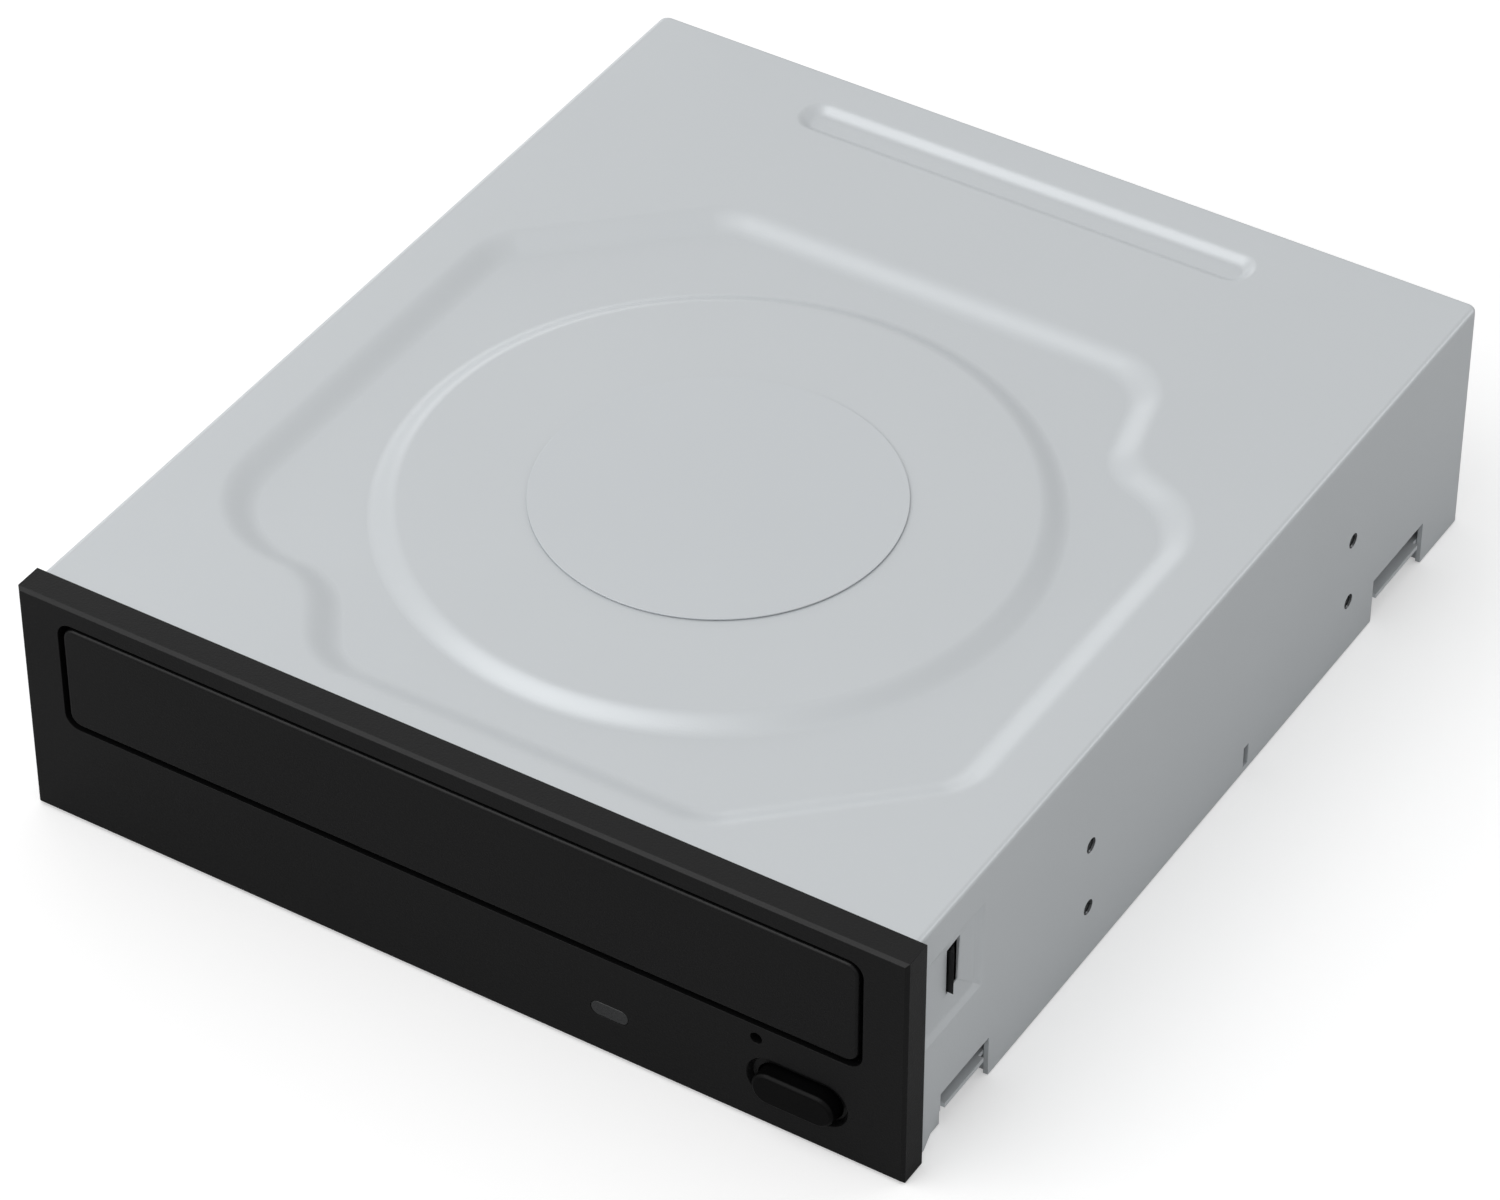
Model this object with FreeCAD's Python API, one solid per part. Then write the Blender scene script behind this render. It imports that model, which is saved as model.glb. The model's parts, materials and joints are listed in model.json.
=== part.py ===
"""Half-height disc drive for a 5.25-inch bay, with a motor-driven tray.

Drawn in millimetres, +Z up, the bezel facing -Y. While it is drawn, x is 0 on the middle plane, y is 0 on
the back plane of the bezel and z is 0 on the underside. The pieces are saved with y measured from the middle
of the bottom screw pattern. The tray is shut and the lift frame is down.
"""
import FreeCAD, Part
import math
import os

Vector = FreeCAD.Vector

small_bar_sides = 12

# Case
body_width = 146.05
body_height = 41.3
body_length = 165.0
sheet = 0.8
case_bend = 1.5
fold_bend = 1.0
sheet_gap = 0.1
half_width = body_width / 2
inner_half = half_width - sheet
inner_top = body_height - sheet
rear_inside = body_length - sheet

# Screw holes that every bay expects
screw_first = 47.6
screw_pitch = 79.24
side_screw_low = 10.0
side_screw_rise = 11.84
bottom_screw_edge = 3.175
bottom_screw_x = half_width - bottom_screw_edge
tap_radius = 1.25
collar_radius = 2.2
side_collar_reach = 1.2
screw_ys = (screw_first, screw_first + screw_pitch)
side_screw_zs = (side_screw_low, side_screw_low + side_screw_rise)
origin_y = screw_first + screw_pitch / 2

# Disc, and the pressings of the top cover that follow it
disc_y = 65.3
disc_radius = 60.0
small_disc_radius = 40.0
disc_thickness = 1.2
recess_side = 9.275
recess_half_width = half_width - recess_side
recess_half_length = 61.6
recess_depth = 1.8
recess_slope = 4.0
recess_corner_radius = 10.0
chamfer_x = 27.95
chamfer_y = 26.45
shoulder_x = 23.75
shoulder_y = 15.25
shoulder_run = 10.5
shoulder_outer_radius = 18.0
shoulder_hollow_radius = 9.0
shoulder_inner_radius = 11.0
ring_radius = 47.0
ring_slope = 3.9
cover_hole_radius = 24.0
foil_radius = 27.85
foil_thickness = 0.4
rib_half_length = 40.0
rib_from_rear = 11.1
rib_y = body_length - rib_from_rear
rib_width = 7.2
rib_depth = 1.2
rib_slope = 1.6

# Side wall: latch dish and slot, corner notches and their folded tabs
dish_length = 14.3
dish_low = 20.3
dish_high = 36.0
dish_depth = 0.4
dish_slope = 1.2
latch_slot_y = (8.45, 11.9)
latch_slot_z = (24.4, 32.6)
hook_slot_y = (94.5, 96.0)
hook_slot_z = (0.9, 4.8)
front_notch_y = (6.6, 19.8)
rear_notch_from_rear = (29.6, 13.2)
rear_notch_y = (body_length - rear_notch_from_rear[0], body_length - rear_notch_from_rear[1])
notch_ys = (front_notch_y, rear_notch_y)
notch_tops = (7.3, 7.9)
toe_cut = (2.3, 4.4)
tab_width = 10.4
tab_reach = 11.2
case_screw_edge = 8.5
case_screw_x = half_width - case_screw_edge
case_screw_radius = 1.4
case_screw_head_radius = 2.8
case_screw_head_height = 1.6
screw_play = 0.2

# Bottom cover
bottom_flange_height = 5.0
pad_top = 4.4
pad_reach = 14.025
pad_inner_x = half_width - pad_reach
pad_play = 0.5
panel_half_width = 46.0
panel_y = (36.0, 84.0)
panel_rise = 0.6

# Bezel
bezel_overhang = 1.075
bezel_depth = 5.0
bezel_low = 0.1
bezel_high = body_height + 0.1
bezel_plate = 2.2
bezel_rim = 1.0
bezel_bevel = 0.5
window_radius = 2.5
window_collar = 1.0
door_gap_side = 0.8
door_gap_height = 0.8
door_depth = 4.1
door_plate = 1.8
button_edge = 16.125
button_x = half_width - button_edge
button_z = 8.4
button_width = 13.2
button_height = 5.4
button_proud = 1.6
button_travel = 1.0
button_gap = 0.3
pocket_width = 16.4
pocket_height = 7.9
pocket_z = 8.95
pocket_depth = 1.0
pocket_slope = 0.6
lens_x = 26.2
lens_z = 8.35
lens_width = 6.2
lens_height = 2.5
lens_play = 0.05
eject_hole_x = button_x - 6.6
eject_hole_radius = 0.95
latch_arm = 1.1
tongue_x = (38.0, 46.0)
tongue_z = (1.3, 2.3)

# Tray
tray_side_room = 9.225
tray_rear_room = 9.0
tray_room = 6.1
tray_height = 6.3
disc_floor_depth = 3.7
small_disc_step = 1.0
disc_play = 0.5
ledge_reach = 2.6
ledge_drop = 0.7
ledge_thickness = 2.0
skirt_drop = 2.9
tray_skirt = 1.6
stiffener_inset = 6.8
door_hook_xs = (-42.0, 0.0, 42.0)
hub_window_radius = 19.0
hub_window_half_width = 22.0
bridge_length = 20.0
bridge_step = 1.9
bridge_relief = 1.6
tray_half_width = half_width - tray_side_room
tray_ledge_out = tray_half_width + ledge_reach
tray_rear = body_length - tray_rear_room
tray_top = body_height - tray_room
tray_under = tray_top - tray_height
disc_floor = tray_top - disc_floor_depth
tray_ledge = (tray_under - ledge_drop, tray_under - ledge_drop + ledge_thickness)
tray_skirt_low = tray_under - skirt_drop
hub_window_rear = tray_rear - bridge_length
bridge_top = tray_top - bridge_step
bridge_under = tray_under + bridge_relief

# Tray window of the bezel, round the tray
window_side_room = 0.85
window_over = 2.8
window_height = 19.7
eject_hole_drop = 2.4
window_half_width = tray_ledge_out + window_side_room
window_high = tray_top + window_over
window_low = window_high - window_height
eject_hole_z = window_low - eject_hole_drop

# Main frame
frame_side_gap = 2.025
frame_half = inner_half - frame_side_gap
frame_wall = 3.0
frame_low = max(notch_tops) + sheet + 0.3
frame_high = tray_top + 0.8
frame_front = 2.5
frame_rear = body_length - 2.0
rail_gap = 0.3
rail_thickness = 1.9
rail_inner_x = tray_half_width + 0.8
deck_room = 14.6
deck_top = tray_under - deck_room
deck_thickness = 1.8
deck_rear = 40.2
front_wall_top = window_low - 0.7
frame_inner = frame_half - frame_wall
lug_wall = 2.8
lug_inset = 1.4
lug_roof = 2.4

# Gear train, from the motor to the tray's rack
pressure_angle = math.radians(20.0)
gear_backlash = 0.12
tooth_height_share = 0.8
tooth_depth_share = 1.1
rack_module = 1.0
rack_teeth_of_drive = 16
rack_inset = 5.8
rack_line_x = rack_inset - tray_half_width
rack_low = deck_top + 6.3
rack_high = rack_low + 5.8
rack_back = 3.5
rack_front = 8.0
drive_y = 20.0
wheel_module = 0.8
wheel_teeth = 34
idler_pinion_teeth = 14
idler_direction = -10.0
fine_module = 0.6
idler_wheel_teeth = 30
pulley_pinion_teeth = 14
pulley_direction = 20.0
pulley_radius = 10.0
motor_pulley_radius = 2.5
belt_reach = 22.6877
motor_y = 19.0
gear_bore_play = 0.05
gear_post_radius = 1.5
gear_step = 0.3
wheel_thickness = 2.6
pinion_top = deck_top + 11.4
pulley_low = deck_top + 7.1
pulley_height = 4.0
pulley_lip = 0.9
post_rise = 0.3
motor_radius = 12.2
motor_floor_gap = 0.9
motor_boss_radius = 3.0
motor_screw_reach = 8.0
motor_screw_radius = 1.0
motor_top = deck_top - deck_thickness
motor_low = sheet + motor_floor_gap
shaft_radius = 1.0
belt_thickness = 1.2
belt_width = 1.4
belt_play = 0.12
belt_z = pulley_low + (pulley_height - belt_width) / 2

# Lift frame, which swings up at the front
hinge_from_rear = 15.0
hinge_y = body_length - hinge_from_rear
hinge_z = deck_top + 1.7
lift_drop = 6.94
lift_angle = math.degrees(math.asin(lift_drop / (hinge_y - disc_y)))
hinge_pin_radius = 2.0
pin_play = 0.05
lift_front = 44.5
lift_rear = hinge_y + 3.0
lift_half_width = 54.0
lift_bar = 6.0
lift_low = hinge_z - 2.0
lift_high = hinge_z + 2.4
lift_pin_x = 30.0
lift_pin_radius = 1.5
lift_pin_z = deck_top + 5.7
hinge_pin_out = lift_half_width + 8.0

# Cam slider, which lifts the frame
slider_travel = 20.0
slider_y = (40.5, 43.0)
slider_low = deck_top - 5.8
slider_high = deck_top + 8.7
slider_x = (-56.0, 36.0)
dam_low = slider_low - 2.1
slot_play = 0.6
slot_dwell = 2.0
slider_rack_clear = 1.0
slider_window = (-24.0, 4.0)
slider_rack_teeth = 11

# Traverse: chassis, spindle, rods, feed and pickup, drawn raised and then let down
chassis_low = lift_low + 6.0
chassis_sheet = 1.2
chassis_half_width = 50.0
chassis_y = (47.0, hinge_y - 4.0)
chassis_opening_x = (-33.0, 39.4)
chassis_opening_y = (80.0, hinge_y - 10.0)
damper_x = 44.0
damper_ys = (54.0, hinge_y - 12.0)
damper_radius = 4.5
damper_neck = 3.0
damper_top = chassis_low + 3.0
damper_screw_head = 3.2
seat_z = disc_floor + 1.7
turntable_radius = 15.5
cone_radius = 7.4
cone_height = 2.8
rotor_radius = 13.0
rotor_z = (chassis_low + 2.4, seat_z - 5.2)
stator_radius = 9.5
stator_poles = 9
bearing_radius = 3.5
rod_x = 27.0
rod_z = chassis_low + 3.5
rod_radius = 1.5
rod_y = (76.5, hinge_y - 7.0)
rod_stay = 2.5
screw_x = 34.5
screw_z = chassis_low + 3.3
screw_y = (58.0, rod_y[1] - 1.0)
screw_radius = 1.5
feed_motor_radius = 4.5
sled_rest_y = 89.0
sled_low = rod_z - 6.0
sled_high = rod_z + 3.0
lens_radius = 2.2
lens_top = seat_z - 1.3

# Clamp above the disc
holder_room = 5.0
holder_plate_z = body_height - holder_room
holder_hole_radius = 16.2
holder_flat_radius = 34.0
holder_rim_radius = 44.0
puck_under = seat_z + 0.9
puck_radius = 15.6
puck_flange_radius = 20.0
puck_flange = 1.2
puck_bore_radius = 8.8
puck_lift_gap = 0.1
magnet_radius = 12.0

# Boards and connectors
board_z = 3.4
board_thickness = 1.6
board_top = board_z + board_thickness
stand_inset = 6.0
board_screw_radius = 1.0
board_half_width = pad_inner_x - 3.0
board_y = (88.0, body_length - 3.0)
connector_high = 11.5
connector_depth = 13.0
connector_gap = 0.3
data_x = (12.0, 29.0)
power_x = (-16.0, 10.0)
front_board_y = 5.4
front_board_thickness = 1.2
front_board_x = (20.0, half_width - 7.025)
front_board_z = (2.2, 12.0)


def box(x0, x1, y0, y1, z0, z1):
    """Block between two corners."""
    return Part.makeBox(x1 - x0, y1 - y0, z1 - z0, Vector(x0, y0, z0))


def rod_up(x, y, z0, z1, radius):
    """Round bar along Z."""
    return Part.makeCylinder(radius, z1 - z0, Vector(x, y, z0), Vector(0, 0, 1))


def rod_back(x, z, y0, y1, radius):
    """Round bar along Y."""
    return Part.makeCylinder(radius, y1 - y0, Vector(x, y0, z), Vector(0, 1, 0))


def rod_across(y, z, x0, x1, radius):
    """Round bar along X."""
    return Part.makeCylinder(radius, x1 - x0, Vector(x0, y, z), Vector(1, 0, 0))


def small_bar(x, y, z0, z1, radius):
    """Bar along Z with flat sides, for the small round things of which there are many."""
    points = []
    for index in range(small_bar_sides + 1):
        turn = (index + 0.5) * 2 * math.pi / small_bar_sides
        points.append(Vector(x + radius * math.cos(turn), y + radius * math.sin(turn), z0))
    return Part.Face(Part.makePolygon(points)).extrude(Vector(0, 0, z1 - z0))


def tube_up(x, y, z0, z1, outer, inner):
    """Round tube along Z."""
    return rod_up(x, y, z0, z1, outer).cut(rod_up(x, y, z0, z1, inner))


def mirrored(shape):
    """The same piece on the other side of the middle plane."""
    return shape.mirror(Vector(0, 0, 0), Vector(1, 0, 0))


def both_sides(shape):
    """The piece and its mirror image."""
    return shape.fuse(mirrored(shape))


def joined(shapes):
    """One solid from pieces that touch, with the seams between them removed."""
    first = shapes[0]
    return first.multiFuse(shapes[1:]).removeSplitter()


def group(shapes):
    """Separate solids that share one node."""
    return Part.makeCompound(shapes)


def corner_arc(before, here, after, radius):
    """Where a corner's arc starts, its middle and where it ends."""
    into = (here - before).normalize()
    out = (after - here).normalize()
    half_turn = into.getAngle(out) / 2
    reach = radius * math.tan(half_turn)
    inward = (out - into).normalize()
    middle = here + inward * (radius / math.cos(half_turn) - radius)
    return here - into * reach, middle, here + out * reach


def inset_corners(corners, inset):
    """Corners (x, y, radius), counter-clockwise, drawn in by inset with their radii."""
    moved = []
    for index, (x, y, radius) in enumerate(corners):
        here = Vector(x, y, 0)
        before = Vector(*corners[index - 1][:2], 0)
        after = Vector(*corners[(index + 1) % len(corners)][:2], 0)
        into = (here - before).normalize()
        out = (after - here).normalize()
        inward = Vector(-into.y - out.y, into.x + out.x, 0)
        shift = inward * (inset / (1 + into.dot(out)))
        turns_left = into.cross(out).z > 0
        new_radius = radius - inset if turns_left else radius + inset
        moved.append((x + shift.x, y + shift.y, new_radius if radius else 0))
    return moved


def outline(corners, z):
    """Closed wire at height z through corners (x, y, radius)."""
    points = [Vector(x, y, z) for x, y, radius in corners]
    edges = []
    ends = []
    for index, (x, y, radius) in enumerate(corners):
        after = points[(index + 1) % len(points)]
        if radius:
            start, middle, end = corner_arc(points[index - 1], points[index], after, radius)
            ends.append((start, end))
            edges.append(Part.Arc(start, middle, end).toShape())
        else:
            ends.append((points[index], points[index]))
    for index in range(len(points)):
        start = ends[index - 1][1]
        end = ends[index][0]
        if start.distanceToPoint(end) > 1e-6:
            edges.append(Part.LineSegment(start, end).toShape())
    return Part.Wire(Part.__sortEdges__(edges))


def rectangle(x0, x1, y0, y1, radius=0):
    """Corners of a rectangle, counter-clockwise."""
    return [(x0, y0, radius), (x1, y0, radius), (x1, y1, radius), (x0, y1, radius)]


def prism(corners, z0, z1):
    """Straight block over an outline."""
    return Part.Face(outline(corners, z0)).extrude(Vector(0, 0, z1 - z0))


def sunk_block(corners, floor, top, above, slope):
    """Block over an outline whose sides slope in by slope between top and floor."""
    block = prism(corners, floor, above)
    rim = [edge for edge in block.Edges if edge.BoundBox.ZMax < floor + 0.01]
    return block.makeChamfer(top - floor, slope, rim)


def facing_front(shape):
    """Turn a piece drawn flat, x and height, so that its own z runs towards the front."""
    turned = shape.copy()
    turned.rotate(Vector(0, 0, 0), Vector(1, 0, 0), 90)
    return turned


def front_prism(corners, y0, y1):
    """Block over an outline given in x and height, between two depths."""
    return facing_front(prism(corners, -y1, -y0))


def side_prism(corners, x0, x1):
    """Block over an outline given in y and height, between two sides."""
    turned = prism(corners, x0, x1)
    turned.rotate(Vector(0, 0, 0), Vector(1, 1, 1), 120)
    return turned


def let_down(shape):
    """Swing a piece of the lift frame from its raised place to rest."""
    lowered = shape.copy()
    lowered.rotate(Vector(0, hinge_y, hinge_z), Vector(1, 0, 0), lift_angle)
    return lowered


def recess_corners():
    """Outline of the cover's sunk area, the same when turned half round about the disc."""
    wide = recess_half_width
    deep = recess_half_length
    half = [
        (-wide, -deep + shoulder_y, shoulder_outer_radius),
        (-wide + shoulder_x, -deep + shoulder_y, shoulder_hollow_radius),
        (-wide + shoulder_x + shoulder_run, -deep, shoulder_inner_radius),
        (wide - chamfer_x, -deep, recess_corner_radius),
        (wide, -deep + chamfer_y, recess_corner_radius),
    ]
    front = [(x, disc_y + y, radius) for x, y, radius in half]
    back = [(-x, disc_y - y, radius) for x, y, radius in half]
    return front + back


def cover_pressings(top):
    """What the press pushes in below a sheet whose upper face is at height top."""
    floor = top - recess_depth
    above = top + 1
    sunk = sunk_block(recess_corners(), floor, top, above, recess_slope)
    centre = Vector(0, disc_y, floor)
    ring = Part.makeCone(ring_radius + ring_slope, ring_radius, recess_depth, centre)
    ring = ring.fuse(rod_up(0, disc_y, top, above, ring_radius))
    rib_round = rib_width / 2 - 0.01
    rib = rectangle(-rib_half_length, rib_half_length, rib_y - rib_width / 2, rib_y + rib_width / 2, rib_round)
    groove = sunk_block(rib, top - rib_depth, top, above, rib_slope)
    return sunk.cut(ring).fuse(groove)


def latch_dish(side):
    """Shallow dish in the right wall round the bezel's latch, below a face at x = side."""
    corners = rectangle(-dish_length, dish_length, dish_low, dish_high)
    dish = sunk_block(corners, side - dish_depth, side, side + 1, dish_slope)
    dish.rotate(Vector(0, 0, 0), Vector(1, 1, 1), 120)
    return dish


def cover_skin(inset):
    """Solid inside one skin of the top cover, drawn in by inset on every closed side."""
    side = half_width - inset
    top = body_height - inset
    start = -inset
    block = box(-side, side, start, body_length - inset, -inset, top)
    folds = []
    for edge in block.Edges:
        middle = edge.CenterOfMass
        on_top = abs(middle.z - top) < 0.01 and middle.y > 0.01
        at_rear = abs(middle.y - (body_length - inset)) < 0.01 and abs(abs(middle.x) - side) < 0.01
        if on_top or at_rear:
            folds.append(edge)
    block = block.makeFillet(case_bend - inset * 0.6, folds)
    dish = latch_dish(side)
    return block.cut(cover_pressings(top)).cut(dish).cut(mirrored(dish))


def folded_tab(notch):
    """Tab that is folded inwards from the side wall's notch, to take a case screw."""
    middle_y = sum(notch_ys[notch]) / 2
    low = notch_tops[notch]
    y0 = middle_y - tab_width / 2
    y1 = middle_y + tab_width / 2
    inner = half_width - tab_reach
    tab = box(inner, half_width - sheet / 2, y0, y1, low, low + sheet)
    return tab.cut(rod_up(case_screw_x, middle_y, low - 1, low + 2, case_screw_radius))


def top_cover():
    """Pressed steel cover with the case's top, sides and rear."""
    cover = cover_skin(0).cut(cover_skin(sheet))
    cover = cover.cut(rod_up(0, disc_y, inner_top - 2, body_height + 2, cover_hole_radius))
    out = half_width + 1
    deep = half_width - 3
    solids = []
    for y in screw_ys:
        for z in side_screw_zs:
            collar = small_bar(-z, y, inner_half - side_collar_reach, inner_half, collar_radius)
            collar.rotate(Vector(0, 0, 0), Vector(0, 1, 0), 90)
            solids.append(collar)
    for notch in range(len(notch_ys)):
        solids.append(folded_tab(notch))
    for solid in solids:
        cover = cover.fuse(both_sides(solid))
    cuts = []
    for y in screw_ys:
        for z in side_screw_zs:
            cuts.append(rod_across(y, z, deep, out, tap_radius))
    for (y0, y1), high in zip(notch_ys, notch_tops):
        cuts.append(side_prism(rectangle(y0, y1, -3, high), inner_half - 0.05, out))
    cuts.append(side_prism(rectangle(*latch_slot_y, *latch_slot_z), deep, out))
    cuts.append(side_prism(rectangle(*hook_slot_y, *hook_slot_z), deep, out))
    toe = [(toe_cut[0], -1, 0), (notch_ys[0][0] + 0.1, -1, 0), (notch_ys[0][0] + 0.1, toe_cut[1], 0),
           (toe_cut[0], 0, 0)]
    cuts.append(side_prism(toe, deep, out))
    for cut in cuts:
        cover = cover.cut(both_sides(cut))
    for x0, x1 in (data_x, power_x):
        opening = box(x0 - connector_gap, x1 + connector_gap, rear_inside - 3, body_length + 1, -1,
                      connector_high + connector_gap)
        cover = cover.cut(opening)
    return cover.removeSplitter()


def cover_foil():
    """Thin round foil on the ring, over the hole above the clamp."""
    return rod_up(0, disc_y, body_height, body_height + foil_thickness, foil_radius)


def corner_pad(notch):
    """Raised pad of the bottom cover, open below and to the side, where a case screw goes through."""
    y0 = notch_ys[notch][0] + pad_play
    y1 = notch_ys[notch][1] - pad_play
    edge = inner_half - sheet_gap
    hood = box(pad_inner_x, edge, y0, y1, 0, pad_top)
    room = box(pad_inner_x + sheet, edge + 1, y0 + sheet, y1 - sheet, -1, pad_top - sheet)
    middle_y = sum(notch_ys[notch]) / 2
    return hood, room, rod_up(case_screw_x, middle_y, pad_top - 2, pad_top + 1, case_screw_radius + screw_play)


def board_stands():
    """Pressed stands of the bottom cover under the main board's screws."""
    x = board_half_width - stand_inset
    return [(-x, board_y[0] + 4), (x, board_y[0] + 4)] + board_screw_places()


def board_screw_places():
    """Where the main board's rear corners are screwed down."""
    x = board_half_width - stand_inset
    return [(-x, board_y[1] - 4), (x, board_y[1] - 4)]


def bottom_cover():
    """Steel pan between the side walls, with raised corner pads and threaded collars."""
    edge = inner_half - sheet_gap
    rear = rear_inside - sheet_gap
    front = 0.4
    pan = box(-edge, edge, front, rear, 0, bottom_flange_height)
    pan = pan.makeFillet(fold_bend, [e for e in pan.Edges if e.BoundBox.YMin > rear - 0.01 and e.BoundBox.ZLength > 1])
    pan = pan.cut(box(-edge + sheet, edge - sheet, front + sheet, rear - sheet, sheet, bottom_flange_height + 1))
    panel = rectangle(-panel_half_width, panel_half_width, *panel_y)
    raised = prism(inset_corners(panel, panel_rise), sheet / 2, sheet + panel_rise)
    pan = pan.fuse(raised).cut(prism(inset_corners(panel, panel_rise + sheet), -1, panel_rise))
    for x0, x1 in (data_x, power_x):
        pan = pan.cut(box(x0 - 2, x1 + 2, rear - 2, rear + 1, sheet, bottom_flange_height + 1))
    slot_x0, slot_x1 = tongue_x
    slot = box(slot_x0 - 0.2, slot_x1 + 0.2, front - 1, front + sheet + 0.1, tongue_z[0] - 0.2, tongue_z[1] + 0.2)
    pan = pan.cut(both_sides(slot))
    for x, y in board_stands():
        pan = pan.fuse(box(x - 2.6, x + 2.6, y - 2.6, y + 2.6, sheet, board_z))
    for x, y in board_screw_places():
        pan = pan.cut(rod_up(x, y, -1, board_z + 1, board_screw_radius))
    for side in (1, -1):
        turn = mirrored if side < 0 else (lambda shape: shape)
        for notch in range(len(notch_ys)):
            hood, room, hole = corner_pad(notch)
            above = hood.copy().translate(Vector(0, 0, pad_top))
            pan = pan.fuse(turn(hood)).cut(turn(above)).cut(turn(room)).cut(turn(hole))
        for y in screw_ys:
            pan = pan.fuse(turn(small_bar(bottom_screw_x, y, 0, pad_top, collar_radius)))
            pan = pan.cut(turn(rod_up(bottom_screw_x, y, -1, pad_top + 1, tap_radius)))
        hook = box(edge - 0.1, half_width - 0.1, hook_slot_y[0] + 0.2, hook_slot_y[1] - 0.2,
                   hook_slot_z[0] + 0.3, hook_slot_z[1] - 0.3)
        pan = pan.fuse(turn(hook))
    return pan.removeSplitter()


def case_screws():
    """Four screws that go up through the pads and the frame's lugs into the folded tabs."""
    screws = []
    for notch, high in enumerate(notch_tops):
        y = sum(notch_ys[notch]) / 2
        under = pad_top - sheet
        shank = small_bar(case_screw_x, y, under, high + sheet + 0.1, case_screw_radius)
        head = small_bar(case_screw_x, y, under - case_screw_head_height, under, case_screw_head_radius)
        screw = shank.fuse(head)
        screws += [screw, mirrored(screw)]
    return group(screws)


def oblong(x, z, width, height):
    """Corners of a long round-ended shape in x and height."""
    round_end = height / 2 - 0.01
    return rectangle(x - width / 2, x + width / 2, z - height / 2, z + height / 2, round_end)


def window_corners(grow):
    """The bezel's tray window, grown by grow on every side."""
    wide = window_half_width + grow
    return rectangle(-wide, wide, window_low - grow, window_high + grow, window_radius + grow)


def bezel_latch():
    """Side arm of the bezel with the hook that snaps into the case's slot."""
    outer = inner_half - dish_depth - 0.2
    inner = outer - latch_arm
    z0 = latch_slot_z[0] + 0.3
    z1 = latch_slot_z[1] - 0.3
    arm = box(inner, outer, -bezel_depth + bezel_plate, latch_slot_y[1] - 0.3, z0, z1)
    nose = [(outer - 0.1, latch_slot_y[0] + 0.3, 0), (half_width + 0.3, latch_slot_y[0] + 0.3, 0),
            (outer - 0.1, latch_slot_y[1] - 0.3, 0)]
    return arm.fuse(prism(nose, z0, z1))


def front_bezel():
    """Moulded plastic front with the tray window, the button's pocket and the snap latches."""
    wide = half_width + bezel_overhang
    front = -bezel_depth
    shell = box(-wide, wide, front, 0, bezel_low, bezel_high)
    shell = shell.makeChamfer(bezel_bevel, [e for e in shell.Edges if e.BoundBox.YMax < front + 0.01])
    shell = shell.cut(box(-wide + bezel_rim, wide - bezel_rim, front + bezel_plate, 1,
                          bezel_low + bezel_rim, bezel_high - bezel_rim))
    collar = front_prism(window_corners(window_collar), front + bezel_plate - 0.1, 0)
    shell = shell.fuse(collar).cut(front_prism(window_corners(0), front - 1, 1))
    pocket = oblong(button_x, pocket_z, pocket_width, pocket_height)
    boss = front_prism(inset_corners(pocket, -1.0), front + bezel_plate - 0.1, front + bezel_plate + 0.6)
    dip = facing_front(sunk_block(pocket, -front - pocket_depth, -front, 1 - front, pocket_slope))
    opening = oblong(button_x, button_z, button_width + 2 * button_gap, button_height + 2 * button_gap)
    shell = shell.fuse(boss).cut(dip).cut(front_prism(opening, front - 1, 1))
    lens_opening = oblong(lens_x, lens_z, lens_width + 2 * lens_play, lens_height + 2 * lens_play)
    shell = shell.cut(front_prism(lens_opening, front - 1, 1))
    shell = shell.cut(rod_back(eject_hole_x, eject_hole_z, front - 1, 1, eject_hole_radius))
    latch = bezel_latch()
    tongue = box(*tongue_x, front + bezel_plate, 5.0, *tongue_z)
    hook = box(*tongue_x, 1.6, 3.0, tongue_z[0], tongue_z[1] + 0.6)
    return joined([shell, latch, mirrored(latch), tongue, mirrored(tongue), hook, mirrored(hook)])


def indicator_lens():
    """Clear bar that carries the lamp's light to the front."""
    head = front_prism(oblong(lens_x, lens_z, lens_width, lens_height), -bezel_depth, -bezel_depth + 3.4)
    stem = front_prism(oblong(lens_x, lens_z, lens_width - 2, lens_height - 0.6), -bezel_depth + 3.3, 3.4)
    return joined([head, stem])


def eject_button():
    """Button cap with its stop flange behind the bezel and its stem."""
    front = -bezel_depth - button_proud
    back = -bezel_depth + bezel_plate + 0.6 + 0.3
    cap = front_prism(oblong(button_x, button_z, button_width, button_height), front, back)
    rim = [e for e in cap.Edges if e.BoundBox.YMax < front + 0.01]
    cap = cap.makeChamfer(0.4, rim)
    flange = front_prism(oblong(button_x, button_z, button_width + 2, button_height + 1.6), back - 0.01, back + 0.8)
    stem = rod_back(button_x, button_z, back + 0.7, 1.2, 1.3)
    return joined([cap, flange, stem])


def switch_plunger():
    """Small plunger of the eject switch, which the button's stem rests on."""
    return rod_back(button_x, button_z, 1.2, 3.6, 1.6)


def eject_switch():
    """Push switch on the front board behind the button."""
    half = 3.0
    body = box(button_x - half, button_x + half, 2.2, front_board_y, button_z - half, button_z + half)
    return body.cut(rod_back(button_x, button_z, 1, 3.6 + button_travel + 0.2, 1.7))


def indicator_lamp():
    """Light-emitting lamp on the front board."""
    lamp = box(lens_x - 2, lens_x + 2, 3.9, front_board_y, lens_z - 1.5, lens_z + 1.5)
    return lamp.fuse(rod_back(lens_x, lens_z, 3.5, 4.0, 1.1))


def front_board():
    """Upright circuit board behind the bezel, for the switch and the lamp."""
    x0, x1 = front_board_x
    z0, z1 = front_board_z
    board = box(x0, x1, front_board_y, front_board_y + front_board_thickness, z0, z1)
    notch = box(x0 + 8, x0 + 11, front_board_y - 1, front_board_y + 3, z1 - 1.6, z1 + 1)
    return board.cut(notch)


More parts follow.
